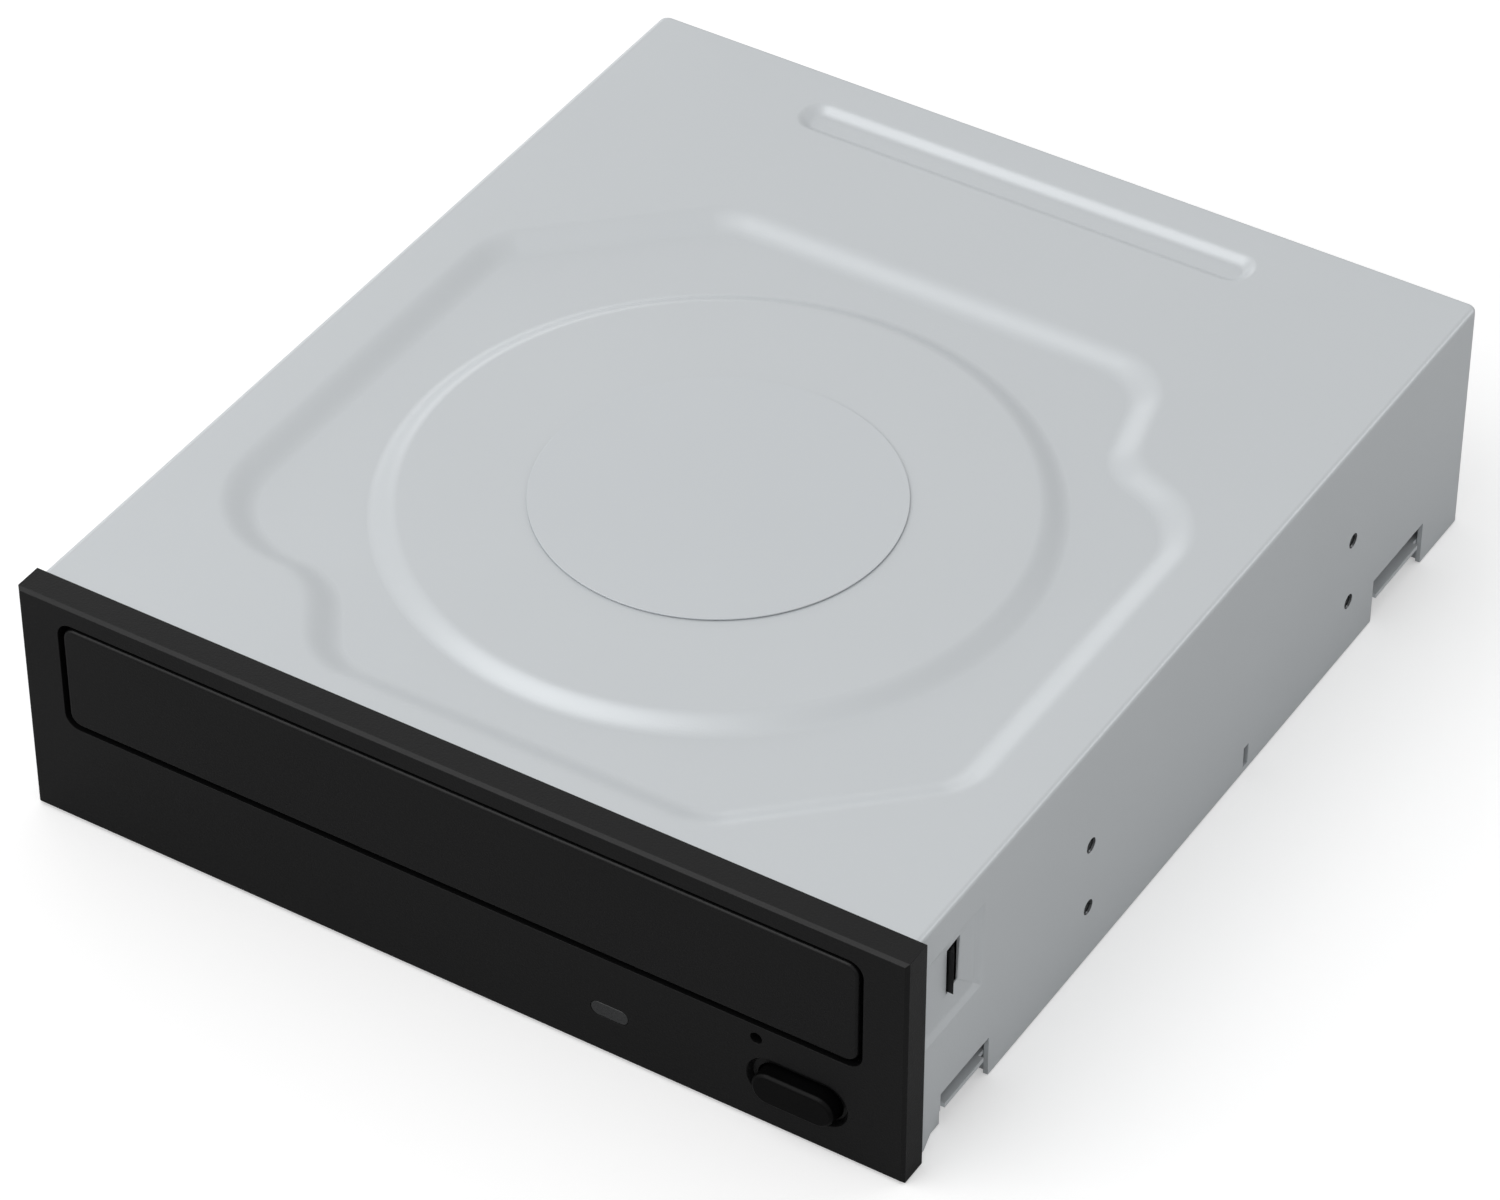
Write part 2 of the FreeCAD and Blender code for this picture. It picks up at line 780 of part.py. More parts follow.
def tray_door():
    """Plastic front of the tray, hollow behind, with hooks that snap under the tray."""
    wide = window_half_width - door_gap_side
    low = window_low + door_gap_height
    high = window_high - door_gap_height
    front = -bezel_depth
    back = front + door_depth
    radius = window_radius - door_gap_side / 2
    door = front_prism(rectangle(-wide, wide, low, high, radius), front, back)
    rim = [e for e in door.Edges if e.BoundBox.YMax < front + 0.01]
    door = door.makeChamfer(0.35, rim)
    for x0, x1 in ((-wide + 1.5, -wide / 3 - 0.6), (-wide / 3 + 0.6, wide / 3 - 0.6), (wide / 3 + 0.6, wide - 1.5)):
        room = rectangle(x0, x1, low + 1.5, tray_under - 0.4)
        door = door.cut(front_prism(room, front + door_plate, back + 1))
    hooks = []
    for x in door_hook_xs:
        arm = box(x - 4, x + 4, back - 1, 4.5, tray_under - 1.3, tray_under - 0.4)
        hooks.append(arm.fuse(box(x - 4, x + 4, 3.3, 4.5, tray_under - 0.5, tray_under)))
        hooks.append(box(x - 4, x + 4, back - 1.6, back, tray_under - 1.3, tray_under + 1))
    return joined([door] + hooks)


def tray_rack():
    """Toothed rack under the tray's left edge."""
    pitch = math.pi * rack_module
    tip = rack_line_x + tooth_height_share * rack_module
    root = rack_line_x - tooth_depth_share * rack_module
    spine = box(rack_line_x - rack_back, root, rack_front, tray_rear - 2, rack_low, tray_under)
    half = pitch / 4 - gear_backlash / 4
    lean = math.tan(pressure_angle)
    tip_half = half - tooth_height_share * rack_module * lean
    root_half = half + tooth_depth_share * rack_module * lean
    first = -int((drive_y - rack_front - 2) / pitch) + 0.5
    count = int((tray_rear - 4 - drive_y) / pitch - first)
    pieces = [spine]
    for index in range(count):
        y = drive_y + (first + index) * pitch
        tooth = [(root, y - root_half, 0), (tip, y - tip_half, 0), (tip, y + tip_half, 0), (root, y + root_half, 0)]
        pieces.append(prism(tooth, rack_low, rack_high))
    return pieces[0].multiFuse(pieces[1:])


def disc_tray():
    """Moulded tray with the two disc recesses, the window for the turntable, its rails and its rack."""
    front = -bezel_depth + door_depth
    plate = prism([(-tray_half_width, front, 0), (tray_half_width, front, 0),
                   (tray_half_width, tray_rear, 4.0), (-tray_half_width, tray_rear, 4.0)], tray_under, tray_top)
    plate = plate.cut(rod_up(0, disc_y, disc_floor, tray_top + 1, disc_radius + disc_play))
    plate = plate.cut(rod_up(0, disc_y, disc_floor - small_disc_step, tray_top, small_disc_radius + disc_play))
    window_wide = hub_window_half_width
    window = prism(rectangle(-window_wide, window_wide, disc_y + 12, hub_window_rear), tray_under - 1, tray_top + 1)
    window = window.fuse(rod_up(0, disc_y, tray_under - 1, tray_top + 1, hub_window_radius))
    plate = plate.cut(window)
    bridge_front = disc_y + disc_radius - 4
    wide = window_wide - 0.01
    plate = plate.cut(box(-wide, wide, bridge_front, tray_rear + 1, bridge_top, tray_top + 1))
    plate = plate.cut(box(-wide, wide, hub_window_rear, tray_rear + 1, tray_under - 1, bridge_under))
    for x0, x1 in ((24.0, 40.0), (42.0, 56.0)):
        for y0, y1 in ((tray_rear - 26, tray_rear - 15), (tray_rear - 13, tray_rear - 2)):
            plate = plate.cut(both_sides(box(x0, x1, y0, y1, tray_under - 1, tray_top - 1.8)))
    skirt = both_sides(box(tray_half_width - tray_skirt, tray_half_width, 3.0, tray_rear - 4, tray_skirt_low,
                           tray_under))
    ledge = both_sides(box(tray_half_width, tray_ledge_out, 5.0, tray_rear, *tray_ledge))
    stiffener_x = tray_half_width - stiffener_inset
    stiffener = box(stiffener_x, stiffener_x + tray_skirt, rack_front, tray_rear - 2, tray_skirt_low - 2, tray_under)
    lugs = []
    for x in door_hook_xs:
        lugs.append(box(x - 5, x + 5, 5.0, 6.2, tray_under - 1.2, tray_under))
    return joined([plate, skirt, ledge, tray_rack(), stiffener] + lugs)


def screw_lug(notch):
    """Clamp-shaped foot of the main frame that reaches round a folded tab, above a corner pad."""
    y0, y1 = notch_ys[notch]
    tab_low = notch_tops[notch]
    middle_y = (y0 + y1) / 2
    top = tab_low + sheet + 0.3
    end = pad_inner_x - lug_wall / 2
    start = y0 + lug_inset
    stop = y1 - lug_inset
    foot = box(end, frame_half, start, stop, pad_top + 0.1, tab_low - 0.1)
    back = box(end, end + lug_wall, start, stop, pad_top + 0.1, top + lug_roof)
    roof = box(end, frame_inner + 0.5, start, stop, top, top + lug_roof)
    lug = joined([foot, back, roof])
    return lug.cut(rod_up(case_screw_x, middle_y, pad_top, tab_low, case_screw_radius + screw_play))


def gear_places():
    """Plan positions of the drive gear, idler gear and pulley gear, each in mesh with the last."""
    drive_x = rack_line_x + rack_module * rack_teeth_of_drive / 2
    first = wheel_module * (wheel_teeth + idler_pinion_teeth) / 2
    second = fine_module * (idler_wheel_teeth + pulley_pinion_teeth) / 2
    turn = math.radians(idler_direction)
    idler_x = drive_x + first * math.cos(turn)
    idler_y = drive_y + first * math.sin(turn)
    turn = math.radians(pulley_direction)
    pulley_x = idler_x + second * math.cos(turn)
    pulley_y = idler_y + second * math.sin(turn)
    return (drive_x, drive_y), (idler_x, idler_y), (pulley_x, pulley_y)


def motor_place():
    """Plan position of the loading motor, a belt's reach from the pulley gear."""
    return gear_places()[2][0] + belt_reach, motor_y


def main_frame():
    """Moulded frame with the tray's rails, the loader deck, the slider's channel and the lift's bearings."""
    inner = frame_inner
    wall = box(inner, frame_half, frame_front, frame_rear, frame_low, frame_high)
    for y in screw_ys:
        for z in side_screw_zs:
            room = collar_radius + 0.8
            wall = wall.cut(box(inner - 1, frame_half + 1, y - room, y + room, z - room, z + room))
    for y0, y1 in ((60.0, 84.0), (90.0, 116.0)):
        wall = wall.cut(box(inner - 1, frame_half + 1, y0, y1, frame_low + 4, tray_ledge[0] - 6))
    low_rail = box(rail_inner_x, inner + 0.1, 3.0, tray_rear, tray_ledge[0] - rail_gap - rail_thickness,
                   tray_ledge[0] - rail_gap)
    high_rail = box(rail_inner_x, inner + 0.1, 3.0, tray_rear, tray_ledge[1] + rail_gap,
                    tray_ledge[1] + rail_gap + rail_thickness)
    bearing = box(lift_half_width + 3, inner + 0.1, hinge_y - 6, hinge_y + 6, hinge_z - 4.5, hinge_z + 4.0)
    right = joined([wall, low_rail, high_rail, bearing, screw_lug(0), screw_lug(1)])
    rear_y = tray_rear + 1.5
    rear = box(-inner - 0.1, inner + 0.1, rear_y, rear_y + 2, connector_high + 1.5, tray_under - 2.9)
    rear = rear.cut(box(-40.0, 40.0, rear_y - 1, rear_y + 3, connector_high + 5.5, tray_under - 6.9))
    deck = box(-inner - 0.1, inner + 0.1, frame_front, deck_rear, deck_top - deck_thickness, deck_top)
    front = box(-inner - 0.1, inner + 0.1, frame_front, 4.5, 4.6, front_wall_top)
    dam_end = frame_inner - 7.2
    dam_front = deck_rear - 2.2
    lip_back = slider_y[1] + 1.2
    dam = box(-dam_end, dam_end, dam_front, deck_rear, dam_low, deck_top)
    dam = dam.cut(box(-44.0, 44.0, dam_front - 1, deck_rear + 1, dam_low + 3, deck_top - deck_thickness))
    floor = box(-dam_end, dam_end, dam_front, lip_back, dam_low, slider_low - 0.2)
    lip = box(-dam_end, dam_end, slider_y[1] + 0.3, lip_back, dam_low, slider_low + 0.4)
    frame = joined([right, mirrored(right), rear, deck, front, dam, floor, lip])
    motor_x = motor_place()[0]
    bearing_bore = rod_across(hinge_y, hinge_z, lift_half_width + 2, hinge_pin_out + 0.6, hinge_pin_radius + pin_play)
    cuts = [both_sides(bearing_bore)]
    cuts.append(box(button_x - 4.0, button_x + 4.0, 2, 5, 4, 12.6))
    cuts.append(box(lens_x - 4.0, lens_x + 4.0, 2, 5, 4, 11.0))
    cuts.append(rod_back(eject_hole_x, eject_hole_z, 2, 5, eject_hole_radius + 0.4))
    cuts.append(rod_up(motor_x, motor_y, deck_top - 3, deck_top + 1, motor_boss_radius + 0.2))
    for x in (motor_x - motor_screw_reach, motor_x + motor_screw_reach):
        cuts.append(rod_up(x, motor_y, deck_top - 3, deck_top + 1, motor_screw_radius))
    for cut in cuts:
        frame = frame.cut(cut)
    posts = []
    tops = (pinion_top + post_rise, idler_top() + post_rise, pulley_low + pulley_height + post_rise)
    for (x, y), top in zip(gear_places(), tops):
        posts.append(rod_up(x, y, deck_top - 0.1, top, gear_post_radius))
        posts.append(small_bar(x, y, deck_top - 0.1, deck_top + gear_step, gear_post_radius + 1.5))
    return joined([frame] + posts)


def tooth_points(teeth, module, angle):
    """Outline points of a gear whose first tooth points along angle."""
    pitch = teeth * module / 2
    base = pitch * math.cos(pressure_angle)
    tip = pitch + tooth_height_share * module
    root = pitch - tooth_depth_share * module
    half_at_pitch = math.pi / (2 * teeth) - gear_backlash / (4 * pitch)
    points = []
    for tooth in range(teeth):
        centre = angle + tooth * 2 * math.pi / teeth
        flank = []
        for radius in (root, tip):
            reach = max(radius, base)
            slope = math.acos(base / reach)
            grown = math.tan(slope) - slope - (math.tan(pressure_angle) - pressure_angle)
            flank.append((radius, half_at_pitch - grown))
        for radius, half in flank:
            points.append((radius * math.cos(centre - half), radius * math.sin(centre - half)))
        for radius, half in reversed(flank):
            points.append((radius * math.cos(centre + half), radius * math.sin(centre + half)))
    return points


def toothed(place, teeth, module, z0, z1, angle):
    """Toothed part of a gear at a plan position, with its first tooth along angle in radians."""
    x, y = place
    points = [Vector(x + a, y + b, z0) for a, b in tooth_points(teeth, module, angle)]
    face = Part.Face(Part.makePolygon(points + [points[0]]))
    return face.extrude(Vector(0, 0, z1 - z0))


def gear_bore(place, z0, z1):
    """The bore that turns on a post."""
    return rod_up(place[0], place[1], z0 - 1, z1 + 1, gear_post_radius + gear_bore_play)


def lightened(wheel, place, z1, inner, outer, depth):
    """Sink a ring into a wheel's upper face."""
    return wheel.cut(tube_up(place[0], place[1], z1 - depth, z1 + 1, outer, inner))


def drive_gear():
    """Gear that turns the tray's rack, with the large wheel below it."""
    place = gear_places()[0]
    low = deck_top + gear_step
    step = low + wheel_thickness
    to_idler = math.radians(idler_direction)
    wheel = toothed(place, wheel_teeth, wheel_module, low, step, to_idler)
    rim = wheel_module * wheel_teeth / 2 - 2.4
    hub = rack_module * rack_teeth_of_drive / 2 + 1.4
    wheel = lightened(wheel, place, step, hub, rim, 1.0)
    pinion = toothed(place, rack_teeth_of_drive, rack_module, step - 0.1, pinion_top, math.pi)
    return joined([wheel, pinion]).cut(gear_bore(place, low, pinion_top))


def idler_step():
    """Height where the idler gear's pinion ends and its wheel begins."""
    return deck_top + gear_step + wheel_thickness + 0.3


def idler_top():
    """Height of the idler gear's upper face."""
    return idler_step() + 2.4


def idler_gear():
    """Gear between the drive gear and the pulley gear."""
    place = gear_places()[1]
    low = deck_top + gear_step
    step = idler_step()
    top = idler_top()
    to_drive = math.radians(idler_direction + 180.0)
    half_tooth = math.pi / idler_pinion_teeth
    pinion = toothed(place, idler_pinion_teeth, wheel_module, low, step + 0.1, to_drive + half_tooth)
    to_pulley = math.radians(pulley_direction)
    wheel = toothed(place, idler_wheel_teeth, fine_module, step, top, to_pulley)
    return joined([pinion, wheel]).cut(gear_bore(place, low, top))


def pulley_gear():
    """Belt pulley with the small pinion under it."""
    place = gear_places()[2]
    low = deck_top + gear_step
    step = pulley_low
    top = pulley_low + pulley_height
    to_idler = math.radians(pulley_direction + 180.0)
    half_tooth = math.pi / pulley_pinion_teeth
    collar = rod_up(place[0], place[1], low, low + 2.6, gear_post_radius + 1.2)
    pinion = toothed(place, pulley_pinion_teeth, fine_module, low + 2.5, step + 0.1, to_idler + half_tooth)
    body = rod_up(place[0], place[1], step, top, pulley_radius)
    flange_low = rod_up(place[0], place[1], step, step + pulley_lip, pulley_radius + 1.0)
    flange_high = rod_up(place[0], place[1], top - pulley_lip, top, pulley_radius + 1.0)
    body = joined([body, flange_low, flange_high])
    return joined([collar, pinion, body]).cut(gear_bore(place, low, top))


def motor_pulley():
    """Small belt pulley on the loading motor's shaft."""
    motor_x = motor_place()[0]
    step = pulley_low
    top = pulley_low + pulley_height
    body = rod_up(motor_x, motor_y, step, top, motor_pulley_radius)
    low = rod_up(motor_x, motor_y, step, step + pulley_lip, motor_pulley_radius + 1.0)
    high = rod_up(motor_x, motor_y, top - pulley_lip, top, motor_pulley_radius + 1.0)
    return joined([body, low, high]).cut(rod_up(motor_x, motor_y, step - 1, top + 1, shaft_radius))


def motor_shaft():
    """Shaft of the loading motor."""
    return rod_up(*motor_place(), deck_top - 6.0, pulley_low + pulley_height + 0.2, shaft_radius)


def loading_motor():
    """Round can under the deck, with its front boss in the deck's hole."""
    motor_x = motor_place()[0]
    can = rod_up(motor_x, motor_y, motor_low, motor_top, motor_radius)
    can = can.makeChamfer(0.8, [edge for edge in can.Edges if edge.BoundBox.ZMax < motor_low + 0.01])
    boss = rod_up(motor_x, motor_y, motor_top - 0.1, motor_top + 1.4, motor_boss_radius)
    bore = rod_up(motor_x, motor_y, deck_top - 6.2, deck_top + 2, shaft_radius + 0.05)
    return joined([can, boss]).cut(bore)


def motor_screws():
    """Two screws that hold the loading motor under the deck."""
    screws = []
    motor_x = motor_place()[0]
    for x in (motor_x - motor_screw_reach, motor_x + motor_screw_reach):
        shank = small_bar(x, motor_y, motor_top, deck_top, motor_screw_radius)
        screws.append(shank.fuse(small_bar(x, motor_y, deck_top, deck_top + 1.0, 1.9)))
    return group(screws)


def belt_outline(grow):
    """Round the two pulleys: radii grown by grow, with straight runs between them."""
    far = Vector(*gear_places()[2], belt_z)
    near = Vector(*motor_place(), belt_z)
    along = near - far
    big = pulley_radius + grow
    small = motor_pulley_radius + grow
    tilt = math.acos((big - small) / along.Length)
    heading = math.atan2(along.y, along.x)

    def spot(centre, radius, angle):
        return centre + Vector(radius * math.cos(angle), radius * math.sin(angle), 0)

    upper = heading + tilt
    lower = heading - tilt
    edges = [
        Part.Arc(spot(far, big, upper), spot(far, big, heading + math.pi), spot(far, big, lower)).toShape(),
        Part.LineSegment(spot(far, big, lower), spot(near, small, lower)).toShape(),
        Part.Arc(spot(near, small, lower), spot(near, small, heading), spot(near, small, upper)).toShape(),
        Part.LineSegment(spot(near, small, upper), spot(far, big, upper)).toShape(),
    ]
    return Part.Wire(edges)


def drive_belt():
    """Rubber belt from the motor pulley to the pulley gear."""
    outer = Part.Face(belt_outline(belt_play + belt_thickness)).extrude(Vector(0, 0, belt_width))
    inner = Part.Face(belt_outline(belt_play)).extrude(Vector(0, 0, belt_width))
    return outer.cut(inner)


def lift_pin_rest():
    """Height of the lift frame's front pins when the frame is down."""
    turn = math.radians(lift_angle)
    back = lift_front - 3 - hinge_y
    return hinge_z + back * math.sin(turn) + (lift_pin_z - hinge_z) * math.cos(turn)


def cam_slider():
    """Sliding plate with two slanted slots that carry the lift frame's front pins."""
    y0, y1 = slider_y
    plate = box(slider_x[0], slider_x[1], y0, y1, slider_low, slider_high)
    low = lift_pin_rest()
    width = lift_pin_radius + slot_play
    for x in (-lift_pin_x, lift_pin_x):
        path = [(x + slot_dwell, low - width, 0), (x + slot_dwell, low + width, 0),
                (x, low + width, 0), (x - slider_travel, lift_pin_z + width, 0),
                (x - slider_travel - slot_dwell, lift_pin_z + width, 0),
                (x - slider_travel - slot_dwell, lift_pin_z - width, 0),
                (x - slider_travel, lift_pin_z - width, 0), (x, low - width, 0)]
        plate = plate.cut(front_prism(path, y0 - 1, y1 + 1))
    window = rectangle(*slider_window, slider_low + 8.5, slider_high - 2)
    plate = plate.cut(front_prism(window, y0 - 1, y1 + 1))
    rack_tip = drive_y + wheel_module * (wheel_teeth / 2 + tooth_height_share) + slider_rack_clear
    z0 = deck_top + gear_step
    z1 = z0 + wheel_thickness
    rack_start = gear_places()[0][0] - 4
    pitch = math.pi * wheel_module
    flange = box(rack_start, rack_start + slider_rack_teeth * pitch + 2, rack_tip + 1.6, y0, z0, z1)
    teeth = []
    for index in range(slider_rack_teeth):
        x = rack_start + 1 + index * pitch
        teeth.append(prism([(x, rack_tip + 1.7, 0), (x + 0.5, rack_tip, 0), (x + 1.3, rack_tip, 0),
                            (x + 1.8, rack_tip + 1.7, 0)], z0, z1))
    wedge = prism([(27.0, y0, 0), (27.0, y0 - 7.0, 0), (35.0, y0, 0)], deck_top + 0.4, deck_top + 3.3)
    return joined([plate, flange, wedge] + teeth)


def lift_frame():
    """Moulded frame that swings on two rear pins and is carried by two front pins."""
    bar = lift_bar
    outer = box(-lift_half_width, lift_half_width, lift_front, lift_rear, lift_low, lift_high)
    inner = rectangle(bar - lift_half_width, lift_half_width - bar, lift_front + bar, lift_rear - bar, 3.0)
    frame = outer.cut(prism(inner, lift_low - 1, lift_high + 1))
    groove = box(lift_half_width - bar + 1.6, lift_half_width - 1.6, damper_ys[0] + 12, damper_ys[1] - 10,
                 lift_low - 1, lift_high - 1.6)
    frame = frame.cut(both_sides(groove))
    pieces = [frame]
    for y in damper_ys:
        seat = damper_radius + 0.8
        pieces.append(both_sides(box(damper_x - seat, lift_half_width - 1, y - seat, y + seat, lift_low, lift_high)))
    ear = box(lift_pin_x - 4, lift_pin_x + 4, lift_front, chassis_y[0] - 0.4, lift_high - 1, lift_pin_z + 2.2)
    pieces.append(both_sides(ear))
    pieces.append(both_sides(rod_back(lift_pin_x, lift_pin_z, slider_y[0] + 0.4, lift_front + 0.1, lift_pin_radius)))
    pieces.append(both_sides(rod_across(hinge_y, hinge_z, lift_half_width - 1, hinge_pin_out, hinge_pin_radius)))
    return joined(pieces)


def traverse_chassis():
    """Steel plate that holds the spindle and the rods."""
    top = chassis_low + chassis_sheet
    wide = chassis_half_width
    plate = prism(rectangle(-wide, wide, *chassis_y, 5.0), chassis_low, top)
    plate = plate.cut(prism(rectangle(*chassis_opening_x, *chassis_opening_y), chassis_low - 1, top + 1))
    plate = plate.cut(rod_up(0, disc_y, chassis_low - 1, top + 1, bearing_radius + 0.2))
    plate = plate.cut(box(screw_x - 5.2, screw_x + 4.8, 51.2, 62.0, chassis_low - 1, top + 1))
    plate = plate.cut(prism(rectangle(-37.0, -20.0, 52.0, 68.0), chassis_low - 1, top + 1))
    for y in damper_ys:
        plate = plate.cut(both_sides(rod_up(damper_x, y, chassis_low - 1, top + 1, damper_neck)))
    flange = box(-wide, -wide + chassis_sheet, damper_ys[0] + 10, damper_ys[1] - 10, chassis_low - 1.2, top)
    block = box(screw_x - 4, screw_x + 4, screw_y[1] - 1.8, screw_y[1] + 0.4, chassis_low, screw_z + 3)
    block = block.cut(rod_back(screw_x, screw_z, screw_y[1] - 3, screw_y[1] + 2, screw_radius + 0.05))
    stays = []
    for x in (-rod_x, rod_x):
        for y in (rod_y[0], rod_y[1] - rod_stay):
            stays.append(box(x - 3, x + 3, y, y + rod_stay, top - 0.1, rod_z))
    for x in (-rod_x, rod_x):
        stays = [stay.cut(rod_back(x, rod_z, rod_y[0] - 1, rod_y[1] + 1, rod_radius)) for stay in stays]
    return joined([plate, flange, block] + stays)


def dampers():
    """Four rubber bushes that the chassis hangs in, each with a groove for the plate."""
    bushes = []
    for x in (-damper_x, damper_x):
        for y in damper_ys:
            foot = small_bar(x, y, lift_high, chassis_low, damper_radius)
            neck = small_bar(x, y, chassis_low, chassis_low + chassis_sheet, damper_neck)
            rim = small_bar(x, y, chassis_low + chassis_sheet, damper_top, damper_radius)
            bushes.append(foot.fuse(neck).fuse(rim))
    return group(bushes)


def damper_screws():
    """Heads of the four screws that go down through the dampers into the lift frame."""
    heads = []
    for x in (-damper_x, damper_x):
        for y in damper_ys:
            heads.append(small_bar(x, y, damper_top, damper_top + 1.4, damper_screw_head))
    return group(heads)


def guide_rod(x):
    """Ground steel rod that the sled slides on."""
    return rod_back(x, rod_z, *rod_y, rod_radius)


def rod_clamps():
    """Four small plates that press the rods down on their stays."""
    clamps = []
    top = rod_z + rod_radius
    for x in (-rod_x, rod_x):
        for y in (rod_y[0], rod_y[1] - rod_stay):
            clamps.append(box(x - 3, x + 3, y, y + rod_stay, top, top + 0.8))
    return group(clamps)


def spindle_base():
    """Steel base of the spindle motor under the chassis, with its bearing tube."""
    plate = prism(rectangle(-15.0, 15.0, disc_y - 14.5, disc_y + 14.0, 4.0), chassis_low - 1.4, chassis_low)
    tube = rod_up(0, disc_y, chassis_low - 1.4, rotor_z[1] - 1.6, bearing_radius)
    base = plate.fuse(tube)
    return base.cut(rod_up(0, disc_y, chassis_low - 0.8, rotor_z[1], shaft_radius + 0.05)).removeSplitter()


def spindle_stator():
    """Stack of wound poles round the bearing tube."""
    low = rotor_z[0] + 0.2
    high = rotor_z[1] - 1.8
    core = tube_up(0, disc_y, low, high, stator_radius, bearing_radius)
    for pole in range(stator_poles):
        slot = box(bearing_radius + 1.4, stator_radius + 1, -0.8, 0.8, low - 1, high + 1)
        slot.rotate(Vector(0, 0, 0), Vector(0, 0, 1), pole * 360.0 / stator_poles)
        slot.translate(Vector(0, disc_y, 0))
        core = core.cut(slot)
    return core


def rotor_can():
    """Rotor can of the spindle motor with its shaft."""
    low, high = rotor_z
    can = rod_up(0, disc_y, low, high, rotor_radius)
    can = can.cut(rod_up(0, disc_y, low - 1, high - 0.9, rotor_radius - 1.6))
    shaft = rod_up(0, disc_y, chassis_low - 0.6, seat_z + cone_height - 0.6, shaft_radius)
    return joined([can, shaft])


def turntable():
    """Plastic turntable that seats the disc, with the cone that centres it."""
    low = rotor_z[1]
    pad_floor = seat_z - 0.5
    disc = rod_up(0, disc_y, pad_floor - 2.2, pad_floor, turntable_radius)
    hub = rod_up(0, disc_y, low, pad_floor, 9.0)
    return joined([disc, hub]).cut(rod_up(0, disc_y, low - 1, seat_z + 1, shaft_radius))


def turntable_pad():
    """Rubber ring that the disc rests on."""
    return tube_up(0, disc_y, seat_z - 0.5, seat_z, turntable_radius - 0.3, turntable_radius - 3.2)


def centring_cone():
    """Cone that centres the disc, with its steel cap."""
    low = seat_z - 0.5
    straight = rod_up(0, disc_y, low, seat_z + disc_thickness, cone_radius)
    top = seat_z + cone_height
    cone = Part.makeCone(cone_radius, cone_radius - 2.4, top - seat_z - disc_thickness,
                         Vector(0, disc_y, seat_z + disc_thickness))
    return joined([straight, cone]).cut(rod_up(0, disc_y, low - 1, top + 1, shaft_radius))


def feed_motor():
    """Small stepping motor that turns the lead screw."""
    front = screw_y[0] - 6.8
    can = rod_back(screw_x, screw_z, front, front + 9.8, feed_motor_radius)
    flange = box(screw_x - 4.6, screw_x + 4.6, front - 1, front, chassis_low + chassis_sheet, screw_z + 4.4)
    ears = box(screw_x - 4.6, screw_x + 4.6, front - 3.6, front, chassis_low + chassis_sheet, chassis_low + 2.2)
    bore = rod_back(screw_x, screw_z, screw_y[0] - 0.2, front + 11, screw_radius + 0.05)
    return joined([can, flange, ears]).cut(bore)


def lead_screw():
    """Screw that moves the sled."""
    return rod_back(screw_x, screw_z, *screw_y, screw_radius)


def pickup_sled():
    """Cast sled that carries the laser pickup along the rods."""
    y = sled_rest_y
    body = prism([(-20.0, y - 8, 0), (20.0, y - 8, 0), (24.0, y + 13, 0), (-24.0, y + 13, 0)], sled_low, sled_high)
    body = body.cut(prism(rectangle(-11.0, 11.0, y - 5.6, y + 8.0), sled_low + 2, sled_high + 1))
    pieces = [body]
    for x, y0, y1 in ((-rod_x, y - 8, y - 2), (-rod_x, y + 7, y + 13), (rod_x, y - 2, y + 7)):
        pieces.append(rod_back(x, rod_z, y0, y1, 3.2))
        inner = math.copysign(18.0, x)
        pieces.append(box(min(x, inner), max(x, inner), y0, y1, rod_z - 2, rod_z + 2))
    pieces.append(box(rod_x, screw_x - 3.6, y - 2, y + 4, screw_z - 1.5, screw_z + 1.0))
    sled = joined(pieces)
    for x in (-rod_x, rod_x):
        sled = sled.cut(rod_back(x, rod_z, y - 20, y + 20, rod_radius + 0.05))
    return sled.cut(rod_up(0, disc_y, sled_low - 1, sled_high + 1, turntable_radius + 2))


def feed_nut():
    """Plastic nut on the sled's arm that follows the lead screw."""
    y = sled_rest_y
    nut = box(screw_x - 3.6, screw_x + 3.4, y - 5, y + 5, screw_z - 3.4, screw_z + 3.4)
    nut = nut.cut(rod_back(screw_x, screw_z, y - 6, y + 6, screw_radius + 0.35))
    return nut.cut(box(screw_x - 0.9, screw_x + 0.9, y - 6, y + 6, screw_z - 4, screw_z))


def pickup_cover():
    """Thin steel cover round the lens."""
    y = sled_rest_y
    cover = prism([(-19.0, y - 4.0, 0), (19.0, y - 4.0, 0), (21.0, y + 12, 0), (-21.0, y + 12, 0)],
                  sled_high, sled_high + 0.6)
    return cover.cut(prism(rectangle(-10.0, 10.0, y - 7.0, y + 7.4), sled_high - 1, sled_high + 1))


def lens_holder():
    """Moving holder of the objective lens, hung on thin wires."""
    y = sled_rest_y
    low = sled_high + 1.1
    holder = prism(rectangle(-6.5, 6.5, y - 4.8, y + 4.8), low, low + 2.8)
    collar = rod_up(0, y, low + 2.7, lens_top - 0.5, lens_radius + 0.8)
    return joined([holder, collar]).cut(rod_up(0, y, low - 1, lens_top + 1, lens_radius))


def objective_lens():
    """Domed objective lens in its holder."""
    y = sled_rest_y
    edge = rod_up(0, y, lens_top - 1.6, lens_top - 0.6, lens_radius)
    dome = Part.makeCone(lens_radius, lens_radius / 2, 0.6, Vector(0, y, lens_top - 0.6))
    return joined([edge, dome])


